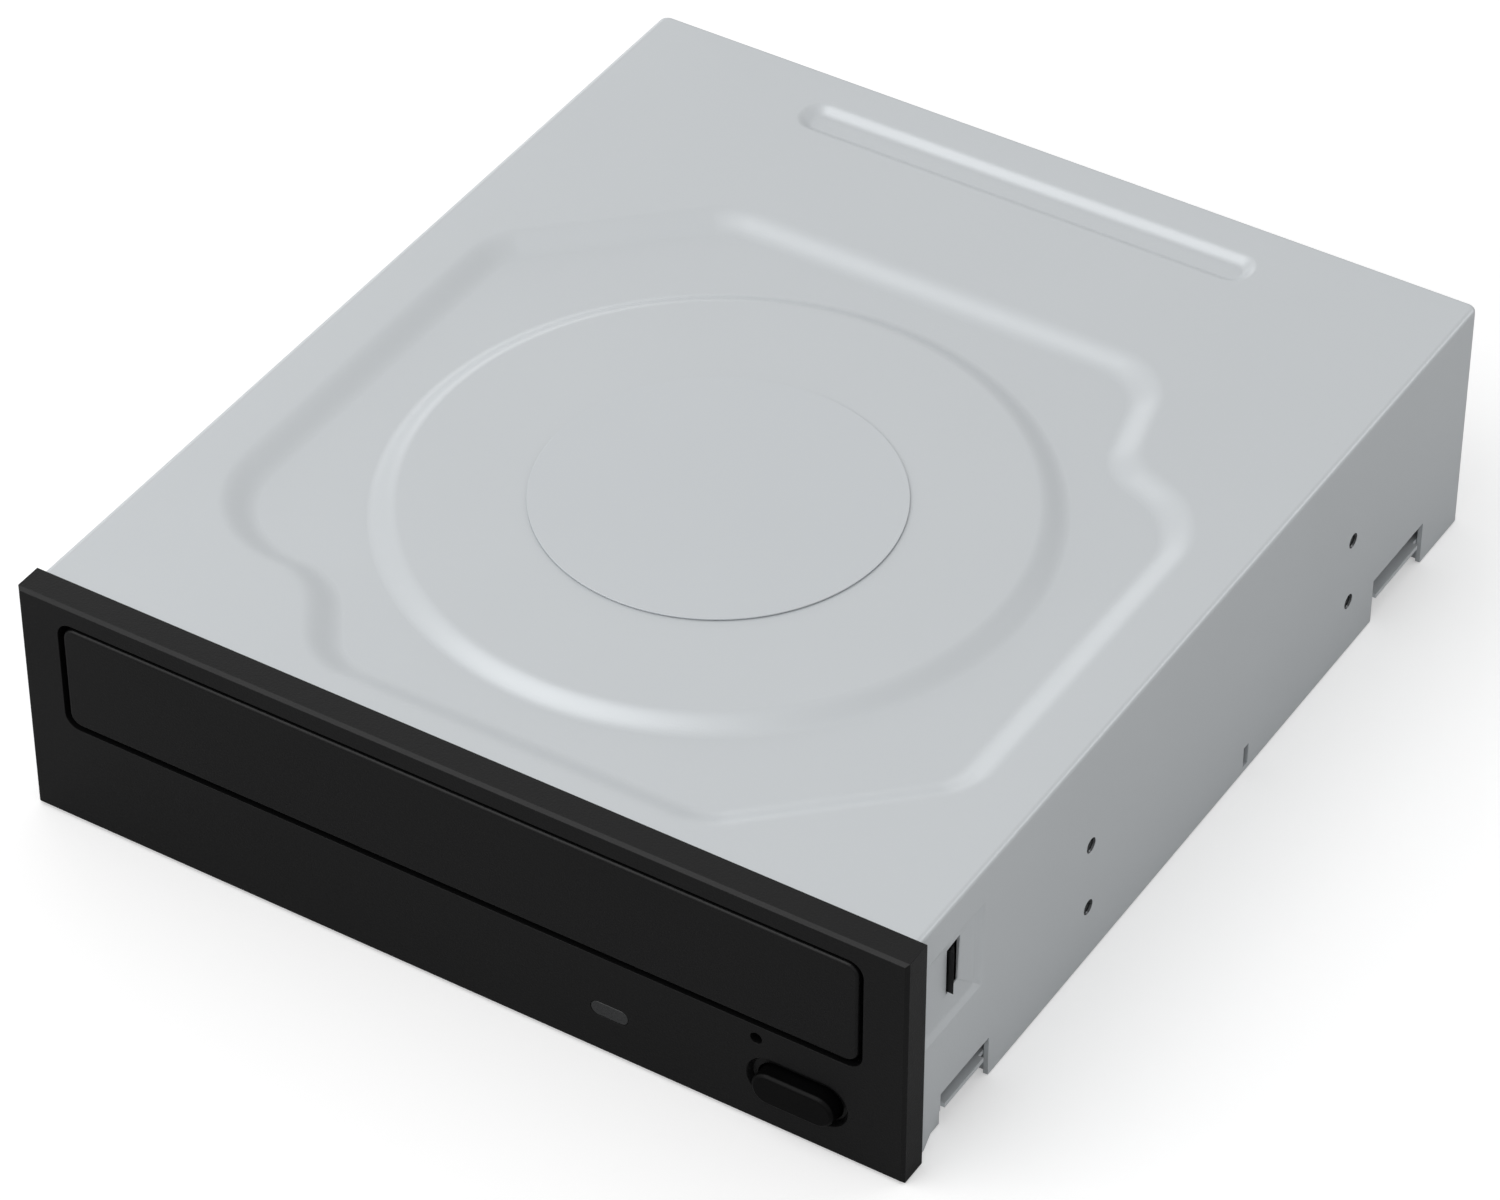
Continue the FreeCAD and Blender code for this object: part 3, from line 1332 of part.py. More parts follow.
def clamp_holder():
    """Pressed steel dish under the cover's ring that carries the clamp puck."""
    z = holder_plate_z
    rim_low = inner_top - sheet
    profile = [
        Vector(holder_hole_radius, 0, z), Vector(holder_flat_radius, 0, z),
        Vector(holder_rim_radius - 6, 0, rim_low), Vector(holder_rim_radius, 0, rim_low),
        Vector(holder_rim_radius, 0, inner_top), Vector(holder_rim_radius - 6.6, 0, inner_top),
        Vector(holder_flat_radius - 0.6, 0, z + sheet), Vector(holder_hole_radius, 0, z + sheet),
        Vector(holder_hole_radius, 0, z),
    ]
    dish = Part.Face(Part.makePolygon(profile)).revolve(Vector(0, 0, 0), Vector(0, 0, 1), 360)
    dish.translate(Vector(0, disc_y, 0))
    return dish


def clamp_puck():
    """Plastic puck that holds the disc down on the turntable."""
    flange_low = holder_plate_z + sheet + puck_lift_gap
    top = flange_low + puck_flange
    body = rod_up(0, disc_y, puck_under, flange_low, puck_radius)
    flange = rod_up(0, disc_y, flange_low - 0.1, top, puck_flange_radius)
    puck = joined([body, flange.cut(rod_up(0, disc_y, flange_low - 1, flange_low, puck_flange_radius + 1))])
    puck = puck.cut(rod_up(0, disc_y, puck_under - 1, puck_under + 2.3, puck_bore_radius))
    puck = puck.cut(tube_up(0, disc_y, puck_under - 1, puck_under + 0.4, puck_radius - 0.4, puck_radius - 3.4))
    return puck.cut(rod_up(0, disc_y, puck_under + 2.8, top + 1, magnet_radius + 0.2))


def clamp_pad():
    """Felt ring on the puck's underside."""
    return tube_up(0, disc_y, puck_under, puck_under + 0.4, puck_radius - 0.4, puck_radius - 3.4)


def clamp_magnet():
    """Round magnet inside the puck."""
    return rod_up(0, disc_y, puck_under + 2.8, puck_under + 4.2, magnet_radius)


def clamp_yoke():
    """Steel plate over the puck's magnet."""
    return rod_up(0, disc_y, puck_under + 4.2, puck_under + 5.0, magnet_radius)


def main_board():
    """Main circuit board on the bottom cover's stands."""
    top = board_z + board_thickness
    board = box(-board_half_width, board_half_width, *board_y, board_z, top)
    board = board.cut(box(-12.0, 12.0, board_y[0] - 1, board_y[0] + 6, board_z - 1, top + 1))
    for x, y in board_screw_places():
        board = board.cut(rod_up(x, y, board_z - 1, top + 1, board_screw_radius + 0.1))
    return board


def board_screws():
    """Two screws that hold the main board's rear corners."""
    screws = []
    top = board_z + board_thickness
    for x, y in board_screw_places():
        shank = small_bar(x, y, board_z - 1.6, top, board_screw_radius)
        screws.append(shank.fuse(small_bar(x, y, top, top + 1.2, 2.1)))
    return group(screws)


def board_chips():
    """Chips on the main board."""
    top = board_z + board_thickness
    front, rear = board_y
    places = [(-26.0, front + 24, 20.0, 20.0, 1.5), (6.0, front + 16, 14.0, 9.0, 1.8),
              (30.0, front + 24, 10.0, 15.0, 1.2), (-30.0, rear - 24, 8.0, 6.0, 1.5), (40.0, rear - 28, 7.0, 7.0, 1.0)]
    chips = []
    for x, y, wide, deep, high in places:
        chips.append(box(x - wide / 2, x + wide / 2, y - deep / 2, y + deep / 2, top, top + high))
    return group(chips)


def board_capacitors():
    """Round capacitors beside the power connector."""
    top = board_z + board_thickness
    places = [(-24.0, board_y[1] - 16), (-32.0, board_y[1] - 14), (38.0, board_y[1] - 14)]
    return group([small_bar(x, y, top, lift_low - 3.8, 2.6) for x, y in places])


def edge_connector(x0, x1, tongue_thickness):
    """Serial plug at the rear edge: a shroud, open to the rear, with its contact tongue."""
    rear = body_length
    low = board_z + board_thickness
    body = box(x0, x1, rear - connector_depth, rear, low, connector_high)
    wall = 1.1
    mouth = box(x0 + wall, x1 - wall, rear - 7.0, rear + 1, low + wall, connector_high - wall)
    tongue = box(x0 + wall + 1.2, x1 - wall - 1.2, rear - 7.1, rear - 0.6, low + 2.4, low + 2.4 + tongue_thickness)
    key = box(x0 + wall + 1.2, x0 + wall + 2.4, rear - 7.1, rear - 0.6, low + 2.4, low + 4.6)
    return joined([body.cut(mouth), tongue, key])


def front_cable():
    """Flat cable from the front board to the main board, along the bottom cover."""
    x0 = 30.0
    x1 = 42.0
    start = front_board_y + front_board_thickness
    end = board_y[0]
    rise = board_z + 0.6
    path = [(start, 2.6, 0), (start + 1.4, 2.6, 0), (start + 3.0, 1.75, 0), (end - 5, 1.75, 0),
            (end - 2.4, rise, 0), (end, rise, 0), (end, rise + 0.3, 0), (end - 2.6, rise + 0.3, 0),
            (end - 5.2, 2.05, 0), (start + 3.1, 2.05, 0), (start + 1.5, 2.9, 0), (start, 2.9, 0)]
    return side_prism(path, x0, x1)


def save(name, shape):
    """Write one piece, with y measured from the middle of the bottom screw pattern."""
    placed = shape.copy()
    placed.translate(Vector(0, -origin_y, 0))
    if not placed.isValid():
        print("not valid:", name)
    placed.exportStep("parts/" + name + ".step")


fixed_pieces = {
    "top_cover": top_cover,
    "cover_foil": cover_foil,
    "bottom_cover": bottom_cover,
    "case_screws": case_screws,
    "front_bezel": front_bezel,
    "indicator_lens": indicator_lens,
    "eject_button": eject_button,
    "switch_plunger": switch_plunger,
    "eject_switch": eject_switch,
    "indicator_lamp": indicator_lamp,
    "front_board": front_board,
    "front_cable": front_cable,
    "tray_door": tray_door,
    "disc_tray": disc_tray,
    "main_frame": main_frame,
    "drive_gear": drive_gear,
    "idler_gear": idler_gear,
    "pulley_gear": pulley_gear,
    "motor_pulley": motor_pulley,
    "motor_shaft": motor_shaft,
    "loading_motor": loading_motor,
    "motor_screws": motor_screws,
    "drive_belt": drive_belt,
    "cam_slider": cam_slider,
    "clamp_holder": clamp_holder,
    "clamp_puck": clamp_puck,
    "clamp_pad": clamp_pad,
    "clamp_magnet": clamp_magnet,
    "clamp_yoke": clamp_yoke,
    "main_board": main_board,
    "board_screws": board_screws,
    "board_chips": board_chips,
    "board_capacitors": board_capacitors,
    "data_connector": lambda: edge_connector(*data_x, 1.2),
    "power_connector": lambda: edge_connector(*power_x, 1.2),
}
lifted_pieces = {
    "lift_frame": lift_frame,
    "traverse_chassis": traverse_chassis,
    "dampers": dampers,
    "damper_screws": damper_screws,
    "left_guide_rod": lambda: guide_rod(-rod_x),
    "right_guide_rod": lambda: guide_rod(rod_x),
    "rod_clamps": rod_clamps,
    "spindle_base": spindle_base,
    "spindle_stator": spindle_stator,
    "rotor_can": rotor_can,
    "turntable": turntable,
    "turntable_pad": turntable_pad,
    "centring_cone": centring_cone,
    "feed_motor": feed_motor,
    "lead_screw": lead_screw,
    "pickup_sled": pickup_sled,
    "feed_nut": feed_nut,
    "pickup_cover": pickup_cover,
    "lens_holder": lens_holder,
    "objective_lens": objective_lens,
}

os.makedirs("parts", exist_ok=True)
for name, make in fixed_pieces.items():
    save(name, make())
for name, make in lifted_pieces.items():
    save(name, let_down(make()))
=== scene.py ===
"""A half-height disc drive with its tray shut, on a pale table in soft light."""
import bpy
import json
import math
from mathutils import Matrix, Vector


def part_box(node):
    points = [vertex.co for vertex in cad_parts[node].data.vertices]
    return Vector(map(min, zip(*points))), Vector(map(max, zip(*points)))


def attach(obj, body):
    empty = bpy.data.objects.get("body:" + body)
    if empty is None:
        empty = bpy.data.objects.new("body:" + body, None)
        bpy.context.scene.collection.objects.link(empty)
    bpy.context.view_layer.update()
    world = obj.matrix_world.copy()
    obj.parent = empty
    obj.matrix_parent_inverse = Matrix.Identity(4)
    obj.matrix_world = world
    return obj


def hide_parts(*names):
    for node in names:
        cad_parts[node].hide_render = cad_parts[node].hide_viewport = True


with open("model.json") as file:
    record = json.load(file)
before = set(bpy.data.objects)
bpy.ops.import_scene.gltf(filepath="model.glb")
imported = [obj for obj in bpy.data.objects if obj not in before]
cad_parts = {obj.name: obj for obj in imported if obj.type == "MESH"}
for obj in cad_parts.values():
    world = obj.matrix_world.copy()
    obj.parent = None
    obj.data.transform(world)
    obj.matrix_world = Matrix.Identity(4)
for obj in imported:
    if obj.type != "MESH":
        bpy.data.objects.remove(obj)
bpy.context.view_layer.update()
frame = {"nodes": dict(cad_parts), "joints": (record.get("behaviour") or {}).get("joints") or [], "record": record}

# Case cover, upper part: one sheet of steel, 0.8 mm thick, coated a satin pale grey. The press sinks it round
# the disc, leaves a round plateau over the clamp and adds a stiffening groove near the rear. Its edges are
# folded down round a small radius.
mm = 0.001
near = 1e-6
case_low, case_high = (Vector(corner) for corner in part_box("top_cover"))
sheet = 0.8 * mm
bend = 1.5 * mm
fold_radius = 0.9 * mm
seam_height = case_high.z - 2.65 * mm
joints = {joint["name"]: joint for joint in frame["joints"]}
disc_x, disc_y = joints["puck_spin"]["pos_m"][:2]


def ready(piece):
    """Leave edit mode with this piece alone selected."""
    if bpy.context.object and bpy.context.object.mode == "EDIT":
        bpy.ops.object.mode_set(mode="OBJECT")
    bpy.ops.object.select_all(action="DESELECT")
    bpy.context.view_layer.objects.active = piece
    piece.select_set(True)


def opened(piece):
    """Enter edit mode on this piece alone, with all of it selected."""
    ready(piece)
    bpy.ops.object.mode_set(mode="EDIT")
    bpy.ops.mesh.select_all(action="SELECT")


def started(name, kind, **sizes):
    """Add a primitive with nothing else selected, and open it."""
    bpy.ops.object.select_all(action="DESELECT")
    getattr(bpy.ops.mesh, "primitive_" + kind + "_add")(**sizes)
    piece = bpy.context.object
    piece.name = name
    piece.data.name = name
    bpy.ops.object.transform_apply(location=True, rotation=True, scale=True)
    opened(piece)
    return piece


def drawn(name, points):
    """One face through points, opened."""
    mesh = bpy.data.meshes.new(name)
    mesh.from_pydata(points, [], [range(len(points))])
    piece = bpy.data.objects.new(name, mesh)
    bpy.context.scene.collection.objects.link(piece)
    opened(piece)
    return piece


def pick(piece, kind, wanted):
    """Select what passes a test of a vertex's place, an edge's two ends, or a face's middle and normal."""
    bpy.ops.object.mode_set(mode="EDIT")
    bpy.ops.mesh.select_mode(type={"vertices": "VERT", "edges": "EDGE", "polygons": "FACE"}[kind])
    bpy.ops.mesh.select_all(action="DESELECT")
    bpy.ops.object.mode_set(mode="OBJECT")
    mesh = piece.data
    for item in getattr(mesh, kind):
        if kind == "vertices":
            chosen = wanted(item.co)
        elif kind == "polygons":
            chosen = wanted(item.center, item.normal)
        else:
            chosen = wanted(*(mesh.vertices[index].co for index in item.vertices))
        if chosen:
            item.select = True
    bpy.ops.object.mode_set(mode="EDIT")


def shaped(piece, kind, **settings):
    """Add a modifier and apply it."""
    ready(piece)
    modifier = piece.modifiers.new(kind.lower(), kind)
    for name, value in settings.items():
        setattr(modifier, name, value)
    bpy.ops.object.modifier_apply(modifier=modifier.name)


def finished(piece, finish, body, angle=35.0):
    """Smooth a piece below an angle, give it its finish and its body."""
    ready(piece)
    bpy.ops.object.shade_smooth_by_angle(angle=math.radians(angle))
    shaped(piece, "WEIGHTED_NORMAL", keep_sharp=True)
    piece.data.materials.clear()
    piece.data.materials.append(finish)
    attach(piece, body)


def merged(name, pieces):
    """Join pieces into the first one, under a name."""
    ready(pieces[0])
    for piece in pieces:
        piece.select_set(True)
    bpy.ops.object.join()
    pieces[0].name = name
    return pieces[0]


def grown(corners, by):
    """Corners (x, y, radius), counter-clockwise, moved out by a distance with their radii."""
    moved = []
    for index, (x, y, radius) in enumerate(corners):
        here = Vector((x, y))
        into = (here - Vector(corners[index - 1][:2])).normalized()
        out = (Vector(corners[(index + 1) % len(corners)][:2]) - here).normalized()
        outward = Vector((into.y + out.y, -into.x - out.x))
        place = here + outward * (by / (1 + into.dot(out)))
        turns_left = into.cross(out) > 0
        moved.append((place.x, place.y, radius + by if turns_left else radius - by))
    return moved


def rounded_face(name, corners, height, steps):
    """Face at a height whose corners are rounded to their radii."""
    piece = drawn(name, [(x, y, height) for x, y, radius in corners])
    for index, (x, y, radius) in enumerate(corners):
        here = Vector((x, y))
        into = here - Vector(corners[index - 1][:2])
        out = Vector(corners[(index + 1) % len(corners)][:2]) - here
        reach = radius * math.tan(into.angle(out) / 2)
        pick(piece, "vertices", lambda spot: (spot.xy - here).length < near)
        bpy.ops.mesh.bevel(affect="VERTICES", offset=reach, segments=steps)
    bpy.ops.mesh.select_mode(type="FACE")
    bpy.ops.mesh.select_all(action="SELECT")
    return piece


def pressed(width, depth, steps):
    """Push the selected face in through a slope with soft shoulders, of a width and a depth."""
    for step in range(steps):
        before = step / steps
        after = (step + 1) / steps
        fall = (math.cos(math.pi * before) - math.cos(math.pi * after)) / 2
        bpy.ops.mesh.inset(thickness=width / steps, depth=-depth * fall)


recess_wide = 63.75 * mm
recess_deep = 61.6 * mm
recess_depth = 1.8 * mm
slope_width = 4.0 * mm
softness = 0.9 * mm
recess_outline = [
    (-recess_wide, -recess_deep + 15.25 * mm, 18 * mm),
    (-recess_wide + 23.75 * mm, -recess_deep + 15.25 * mm, 9 * mm),
    (-recess_wide + 34.25 * mm, -recess_deep, 11 * mm),
    (recess_wide - 27.95 * mm, -recess_deep, 10 * mm),
    (recess_wide, -recess_deep + 26.45 * mm, 10 * mm),
    (recess_wide, recess_deep - 28.2 * mm, 15 * mm),
    (recess_wide - 16.85 * mm, recess_deep - 21.9 * mm, 6 * mm),
    (recess_wide - 22.35 * mm, recess_deep, 12 * mm),
    (-recess_wide + 27.95 * mm, recess_deep, 10 * mm),
    (-recess_wide, recess_deep - 26.45 * mm, 10 * mm),
]
recess_corners = [(disc_x + x, disc_y + y, radius) for x, y, radius in recess_outline]
recess = rounded_face("recess", grown(recess_corners, softness), height=case_high.z, steps=10)
pressed(width=slope_width + 2 * softness, depth=recess_depth, steps=10)
bpy.ops.mesh.delete(type="ONLY_FACE")
ready(recess)

ring_foot = 50.9 * mm
ring_top = 47.0 * mm
ring_soft = 0.4 * mm
hole_radius = 24.0 * mm
floor_height = case_high.z - recess_depth
ring = started("ring", "circle", vertices=160, radius=ring_foot + ring_soft, fill_type="NGON",
               location=(disc_x, disc_y, floor_height))
pressed(width=ring_foot - ring_top + 2 * ring_soft, depth=-recess_depth, steps=10)
bpy.ops.mesh.inset(thickness=ring_top - ring_soft - hole_radius, depth=0)
bpy.ops.mesh.delete(type="ONLY_FACE")
ready(ring)


def closed_at(piece, height, spared=lambda spot: False):
    """Fill what the edges at a height enclose, leaving out the edges with a spared end."""
    def wanted(start, end):
        level = abs(start.z - height) < near and abs(end.z - height) < near
        return level and not spared(start) and not spared(end)
    pick(piece, "edges", wanted)
    bpy.ops.mesh.fill(use_beauty=True)


from_disc = lambda spot: (spot.xy - Vector((disc_x, disc_y))).length
floor = merged("floor", [recess, ring])
closed_at(floor, floor_height, spared=lambda spot: from_disc(spot) < ring_foot)
ready(floor)

groove_half = 40.0 * mm
groove_front = 63.08 * mm
groove_rear = 70.28 * mm
groove_corner = 3.2 * mm
groove_slope = 1.6 * mm
groove_depth = 1.2 * mm
groove_soft = 0.45 * mm
groove_outline = [(-groove_half, groove_front, groove_corner), (groove_half, groove_front, groove_corner),
                  (groove_half, groove_rear, groove_corner), (-groove_half, groove_rear, groove_corner)]
groove = rounded_face("groove", grown(groove_outline, groove_soft), height=case_high.z, steps=10)
pressed(width=groove_slope + 2 * groove_soft, depth=groove_depth, steps=8)
ready(groove)

fold = started("fold", "cube", size=1.0,
               location=(0, (case_low.y + case_high.y) / 2, (seam_height + case_high.z) / 2),
               scale=(case_high.x - case_low.x, case_high.y - case_low.y, case_high.z - seam_height))
on_top = lambda spot: spot.z > case_high.z - near
at_front = lambda spot: spot.y < case_low.y + near
at_rear = lambda spot: spot.y > case_high.y - near
squarely = 0.999
pick(fold, "edges", lambda start, end: at_rear(start) and at_rear(end) and abs(start.x - end.x) < near)
bpy.ops.mesh.bevel(offset=bend, segments=5)
pick(fold, "edges", lambda start, end: on_top(start) and on_top(end)
     and not (at_front(start) and at_front(end)))
bpy.ops.mesh.bevel(offset=fold_radius, segments=4)
pick(fold, "polygons", lambda middle, normal: abs(normal.z) > squarely or normal.y < -squarely)
bpy.ops.mesh.delete(type="ONLY_FACE")
pick(fold, "edges", lambda start, end: at_front(start) and at_front(end)
     and min(start.z, end.z) < seam_height + near and abs(start.x - end.x) > bend)
bpy.ops.mesh.delete(type="EDGE")
ready(fold)

case_top = merged("case_top", [fold, floor, groove])
closed_at(case_top, case_high.z, spared=lambda spot: from_disc(spot) < ring_foot + 2 * softness)
bpy.ops.mesh.select_all(action="SELECT")
bpy.ops.mesh.remove_doubles(threshold=near)
bpy.ops.mesh.normals_make_consistent(inside=False)
ready(case_top)
flat_top = max(case_top.data.polygons,
               key=lambda face: face.area if face.center.z > case_high.z - near else 0)
if flat_top.normal.z < 0:
    opened(case_top)
    bpy.ops.mesh.flip_normals()
shaped(case_top, "SOLIDIFY", thickness=sheet, offset=-1.0)


class Signal:
    """One socket in a material. Arithmetic on it adds Math nodes."""

    def __init__(self, tree, socket=None):
        self.tree = tree
        self.socket = socket

    def fed(self, socket, value):
        """Link a signal to a socket or set the socket's value; a colour of three numbers gets its alpha."""
        if isinstance(value, Signal):
            self.tree.links.new(value.socket, socket)
        elif hasattr(socket.default_value, "__len__") and len(socket.default_value) == 4 and len(value) == 3:
            socket.default_value = (*value, 1)
        else:
            socket.default_value = value

    def node(self, kind, inputs=None, output=0, **settings):
        """Add a node, give it its settings and its sockets' values or links, and return one output."""
        made = self.tree.nodes.new("ShaderNode" + kind)
        for name, value in settings.items():
            setattr(made, name, value)
        for name, value in (inputs or {}).items():
            self.fed(made.inputs[name], value)
        return Signal(self.tree, made.outputs[output])

    def maths(self, operation, first, second):
        return self.node("Math", {0: first, 1: second}, operation=operation)

    def __radd__(self, other):
        return self.maths("ADD", other, self)

    def __sub__(self, other):
        return self.maths("SUBTRACT", self, other)

    def __rsub__(self, other):
        return self.maths("SUBTRACT", other, self)

    def __mul__(self, other):
        return self.maths("MULTIPLY", self, other)

    def __rmul__(self, other):
        return self.maths("MULTIPLY", other, self)

    def spread(self, scale, detail, stretch=(1, 1, 1)):
        """Noise over the object, from 0 to 1, with so many lumps a metre."""
        place = self.node("TexCoord", output="Object")
        moved = self.node("Mapping", {"Vector": place, "Scale": stretch})
        return self.node("TexNoise", {"Vector": moved, "Scale": scale, "Detail": detail})

    def bands(self, scale, bend):
        """Bands across X, from 0 to 1, about half as many a metre as scale says, with bent lines."""
        place = self.node("TexCoord", output="Object")
        wave = {"Vector": place, "Scale": scale / 6.283, "Distortion": bend, "Detail": 2.0}
        return self.node("TexWave", wave, output=1)

    def tones(self, mask, first, second):
        """Colour from first to second as the mask goes from 0 to 1; sockets 6, 7 and output 2 are colours."""
        return self.node("Mix", {0: mask, 6: first, 7: second}, output=2, data_type="RGBA")

    def relief(self, height, strength, depth):
        """Normals of a surface that rises by height times depth."""
        return self.node("Bump", {"Height": height, "Strength": strength, "Distance": depth})


def finish_of(name, **sockets):
    """A material whose principled shader has these values, where a function gets a start signal."""
    material = bpy.data.materials.new(name)
    material.use_nodes = True
    tree = material.node_tree
    shader = tree.nodes["Principled BSDF"]
    start = Signal(tree)
    for socket, value in sockets.items():
        start.fed(shader.inputs[socket.replace("_", " ")], value(start) if callable(value) else value)
    return material


coated_steel = finish_of(
    "satin_coated_steel",
    Base_Color=lambda start: start.tones(start.spread(14, 3), (0.615, 0.643, 0.663), (0.645, 0.673, 0.693)),
    Metallic=0.25,
    Roughness=lambda start: 0.36 + 0.08 * start.spread(60, 3),
    Normal=lambda start: start.relief(start.spread(2600, 2), 0.35, 0.00004))
finished(case_top, coated_steel, "root")
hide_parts("top_cover")

# Case cover, lower part: the same sheet's side walls and rear, with the latch's dish and slot, the threaded
# screw holes, the corner notches and the tabs folded in from them. The dish is made a little longer, lower
# and deeper than in the CAD model.


def copied(node, name):
    """Copy of a CAD node's mesh, with its triangles merged into flat faces, in edit mode and selected."""
    source = frame["nodes"][node]
    piece = bpy.data.objects.new(name, source.data.copy())
    piece.data.name = name
    bpy.context.scene.collection.objects.link(piece)
    opened(piece)
    if piece.data.has_custom_normals:
        bpy.ops.mesh.customdata_custom_splitnormals_clear()
    bpy.ops.mesh.remove_doubles(threshold=2 * near)
    bpy.ops.mesh.dissolve_limited(angle_limit=math.radians(0.5))
    return piece


def softened(piece, width, segments=3, angle=35):
    """Round the edges that turn by more than an angle."""
    shaped(piece, "BEVEL", width=width, segments=segments,
           limit_method="ANGLE", angle_limit=math.radians(angle))


walls = copied("top_cover", "case_walls")
bpy.ops.mesh.bisect(plane_co=(0, 0, seam_height), plane_no=(0, 0, 1), clear_outer=True, threshold=near)
dish_low, dish_high = 20 * mm, 36.5 * mm
dish_rear = case_low.y + 13.7 * mm
dish_depth = 0.4 * mm
dish_longer = 3.0 * mm
dish_deeper = 0.3 * mm
dish_end = dish_rear + dish_longer + 0.9 * mm
skin = 1.3 * mm
slope_reach = 0.8 * mm
in_skin = lambda spot: abs(spot.x) > case_high.x - skin
pick(walls, "vertices", lambda spot: in_skin(spot) and dish_low < spot.z < dish_high
     and abs(spot.y - dish_rear) < slope_reach)
bpy.ops.transform.translate(value=(0, dish_longer, 0))
level_reach = 0.7 * mm
for slope_height, lower in ((35.4 * mm, 1.2 * mm), (20.9 * mm, 1.0 * mm)):
    pick(walls, "vertices", lambda spot: in_skin(spot) and abs(spot.z - slope_height) < level_reach
         and spot.y < dish_end)
    bpy.ops.transform.translate(value=(0, 0, -lower))
floor_slack = 0.05 * mm
for side in (-1, 1):
    pick(walls, "vertices", lambda spot: abs(spot.x - side * (case_high.x - dish_depth)) < floor_slack)
    bpy.ops.transform.translate(value=(-side * dish_deeper, 0, 0))
edges_low, edges_high = 19 * mm, 36.3 * mm
outer_skin = 0.95 * mm
shortest_edge = 4 * mm
in_dish = lambda spot: (abs(spot.x) > case_high.x - outer_skin and edges_low < spot.z < edges_high
                        and spot.y < dish_end)
pick(walls, "edges", lambda start, end: in_dish(start) and in_dish(end)
     and not (at_front(start) and at_front(end)) and (start - end).length > shortest_edge)
bpy.ops.mesh.bevel(offset=0.3 * mm, segments=3, clamp_overlap=True)
sheet_soft = 0.12 * mm
softened(walls, sheet_soft, 2, 40)
closed_at(walls, seam_height)
bpy.ops.mesh.select_all(action="SELECT")
bpy.ops.mesh.normals_make_consistent(inside=False)
finished(walls, coated_steel, "root")
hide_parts("top_cover")

# Foil disc: a round of thin steel foil, stuck over the hole above the clamp. A thin line of shadow shows
# where it stands off the sheet; the near-black glue layer under it is painted shadow that darkens that line.
foil_low, foil_high = (Vector(corner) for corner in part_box("cover_foil"))
foil_radius = (foil_high.x - foil_low.x) / 2
foil_thickness = 0.16 * mm
foil_edge = 0.1 * mm
foil_crown = 0.05 * mm
glue_gap = 0.16 * mm
mostly = 0.9
foil = started("foil_disc", "cylinder", vertices=160, radius=foil_radius, depth=foil_thickness,
               end_fill_type="NGON", location=(disc_x, disc_y, foil_low.z + glue_gap + foil_thickness / 2))
pick(foil, "polygons", lambda middle, normal: normal.z > mostly)
bpy.ops.mesh.inset(thickness=foil_edge, depth=foil_crown)
ready(foil)
foil_steel = finish_of(
    "foil_steel",
    Base_Color=lambda start: start.tones(start.spread(20, 2), (0.620, 0.649, 0.671), (0.642, 0.671, 0.693)),
    Metallic=0.25,
    Roughness=lambda start: 0.34 + 0.06 * start.spread(90, 2),
    Normal=lambda start: start.relief(start.spread(1500, 2), 0.2, 0.00003))
finished(foil, foil_steel, "root", 50)
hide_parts("cover_foil")
glue_inset = 0.3 * mm
glue_rim = 1.0 * mm
# Near-black layer in the gap under the foil: painted shadow under the foil's edge.
glue_shadow_layer = started("foil_glue_painted_shadow", "cylinder", vertices=96, radius=foil_radius - glue_inset, depth=glue_gap,
               end_fill_type="NGON", location=(disc_x, disc_y, foil_low.z + glue_gap / 2))
pick(glue_shadow_layer, "polygons", lambda middle, normal: abs(normal.z) > mostly)
bpy.ops.mesh.inset(thickness=glue_rim, depth=0)
# Near-black colour: painted shadow in the gap under the foil.
glue_painted_shadow = finish_of(
    "glue_painted_shadow",
    Base_Color=lambda start: start.tones(start.spread(300, 2), (0.02, 0.02, 0.02), (0.04, 0.04, 0.04)),
    Roughness=0.7)
finished(glue_shadow_layer, glue_painted_shadow, "root")
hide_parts("cover_foil")

# Bottom cover: a pan of the same coated steel with raised corner pads, a stiffening panel and threaded
# collars. The pads reach out to the side walls' face and back behind their notches, and the pan's flange is
# slotted behind the small slot in the middle of each side wall.


def combined(piece, operation, other):
    """Add another closed mesh to a piece or cut it away, and remove it."""
    shaped(piece, "BOOLEAN", object=other, operation=operation, solver="EXACT")
    bpy.data.objects.remove(other)


pan = copied("bottom_cover", "bottom_pan")
pad_low, pad_high = 3.6 * mm, 5.1 * mm
pad_longer = 1.9 * mm
pads = ((case_low.y + 7.9 * mm, case_low.y + 18.5 * mm), (case_low.y + 136.7 * mm, case_low.y + 150.5 * mm))
for pad_front, pad_rear in pads:
    pick(pan, "vertices",
         lambda spot: pad_rear - 0.1 * mm < spot.y < pad_rear + 0.9 * mm and spot.z < pad_high)
    bpy.ops.transform.translate(value=(0, pad_longer, 0))
ready(pan)
lip_width = 1.1 * mm
lip_inset = 0.6 * mm
slot_sizes = (3.0 * mm, 1.4 * mm, 3.7 * mm)
slot_inset = 1.2 * mm
slot_y = case_low.y + 95.25 * mm
slot_height = 2.85 * mm
for side in (-1, 1):
    blocks = [("DIFFERENCE", slot_sizes, (side * (case_high.x - slot_inset), slot_y, slot_height))]
    for pad_front, pad_rear in pads:
        blocks.append(("UNION", (lip_width, pad_rear - pad_front, sheet),
                       (side * (case_high.x - lip_inset), (pad_front + pad_rear) / 2, pad_low + sheet / 2)))
    for operation, sizes, place in blocks:
        block = started("block", "cube", size=1.0, scale=sizes, location=place)
        ready(block)
        combined(pan, operation, block)
softened(pan, sheet_soft, 2, 40)
finished(pan, coated_steel, "root")
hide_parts("bottom_cover")

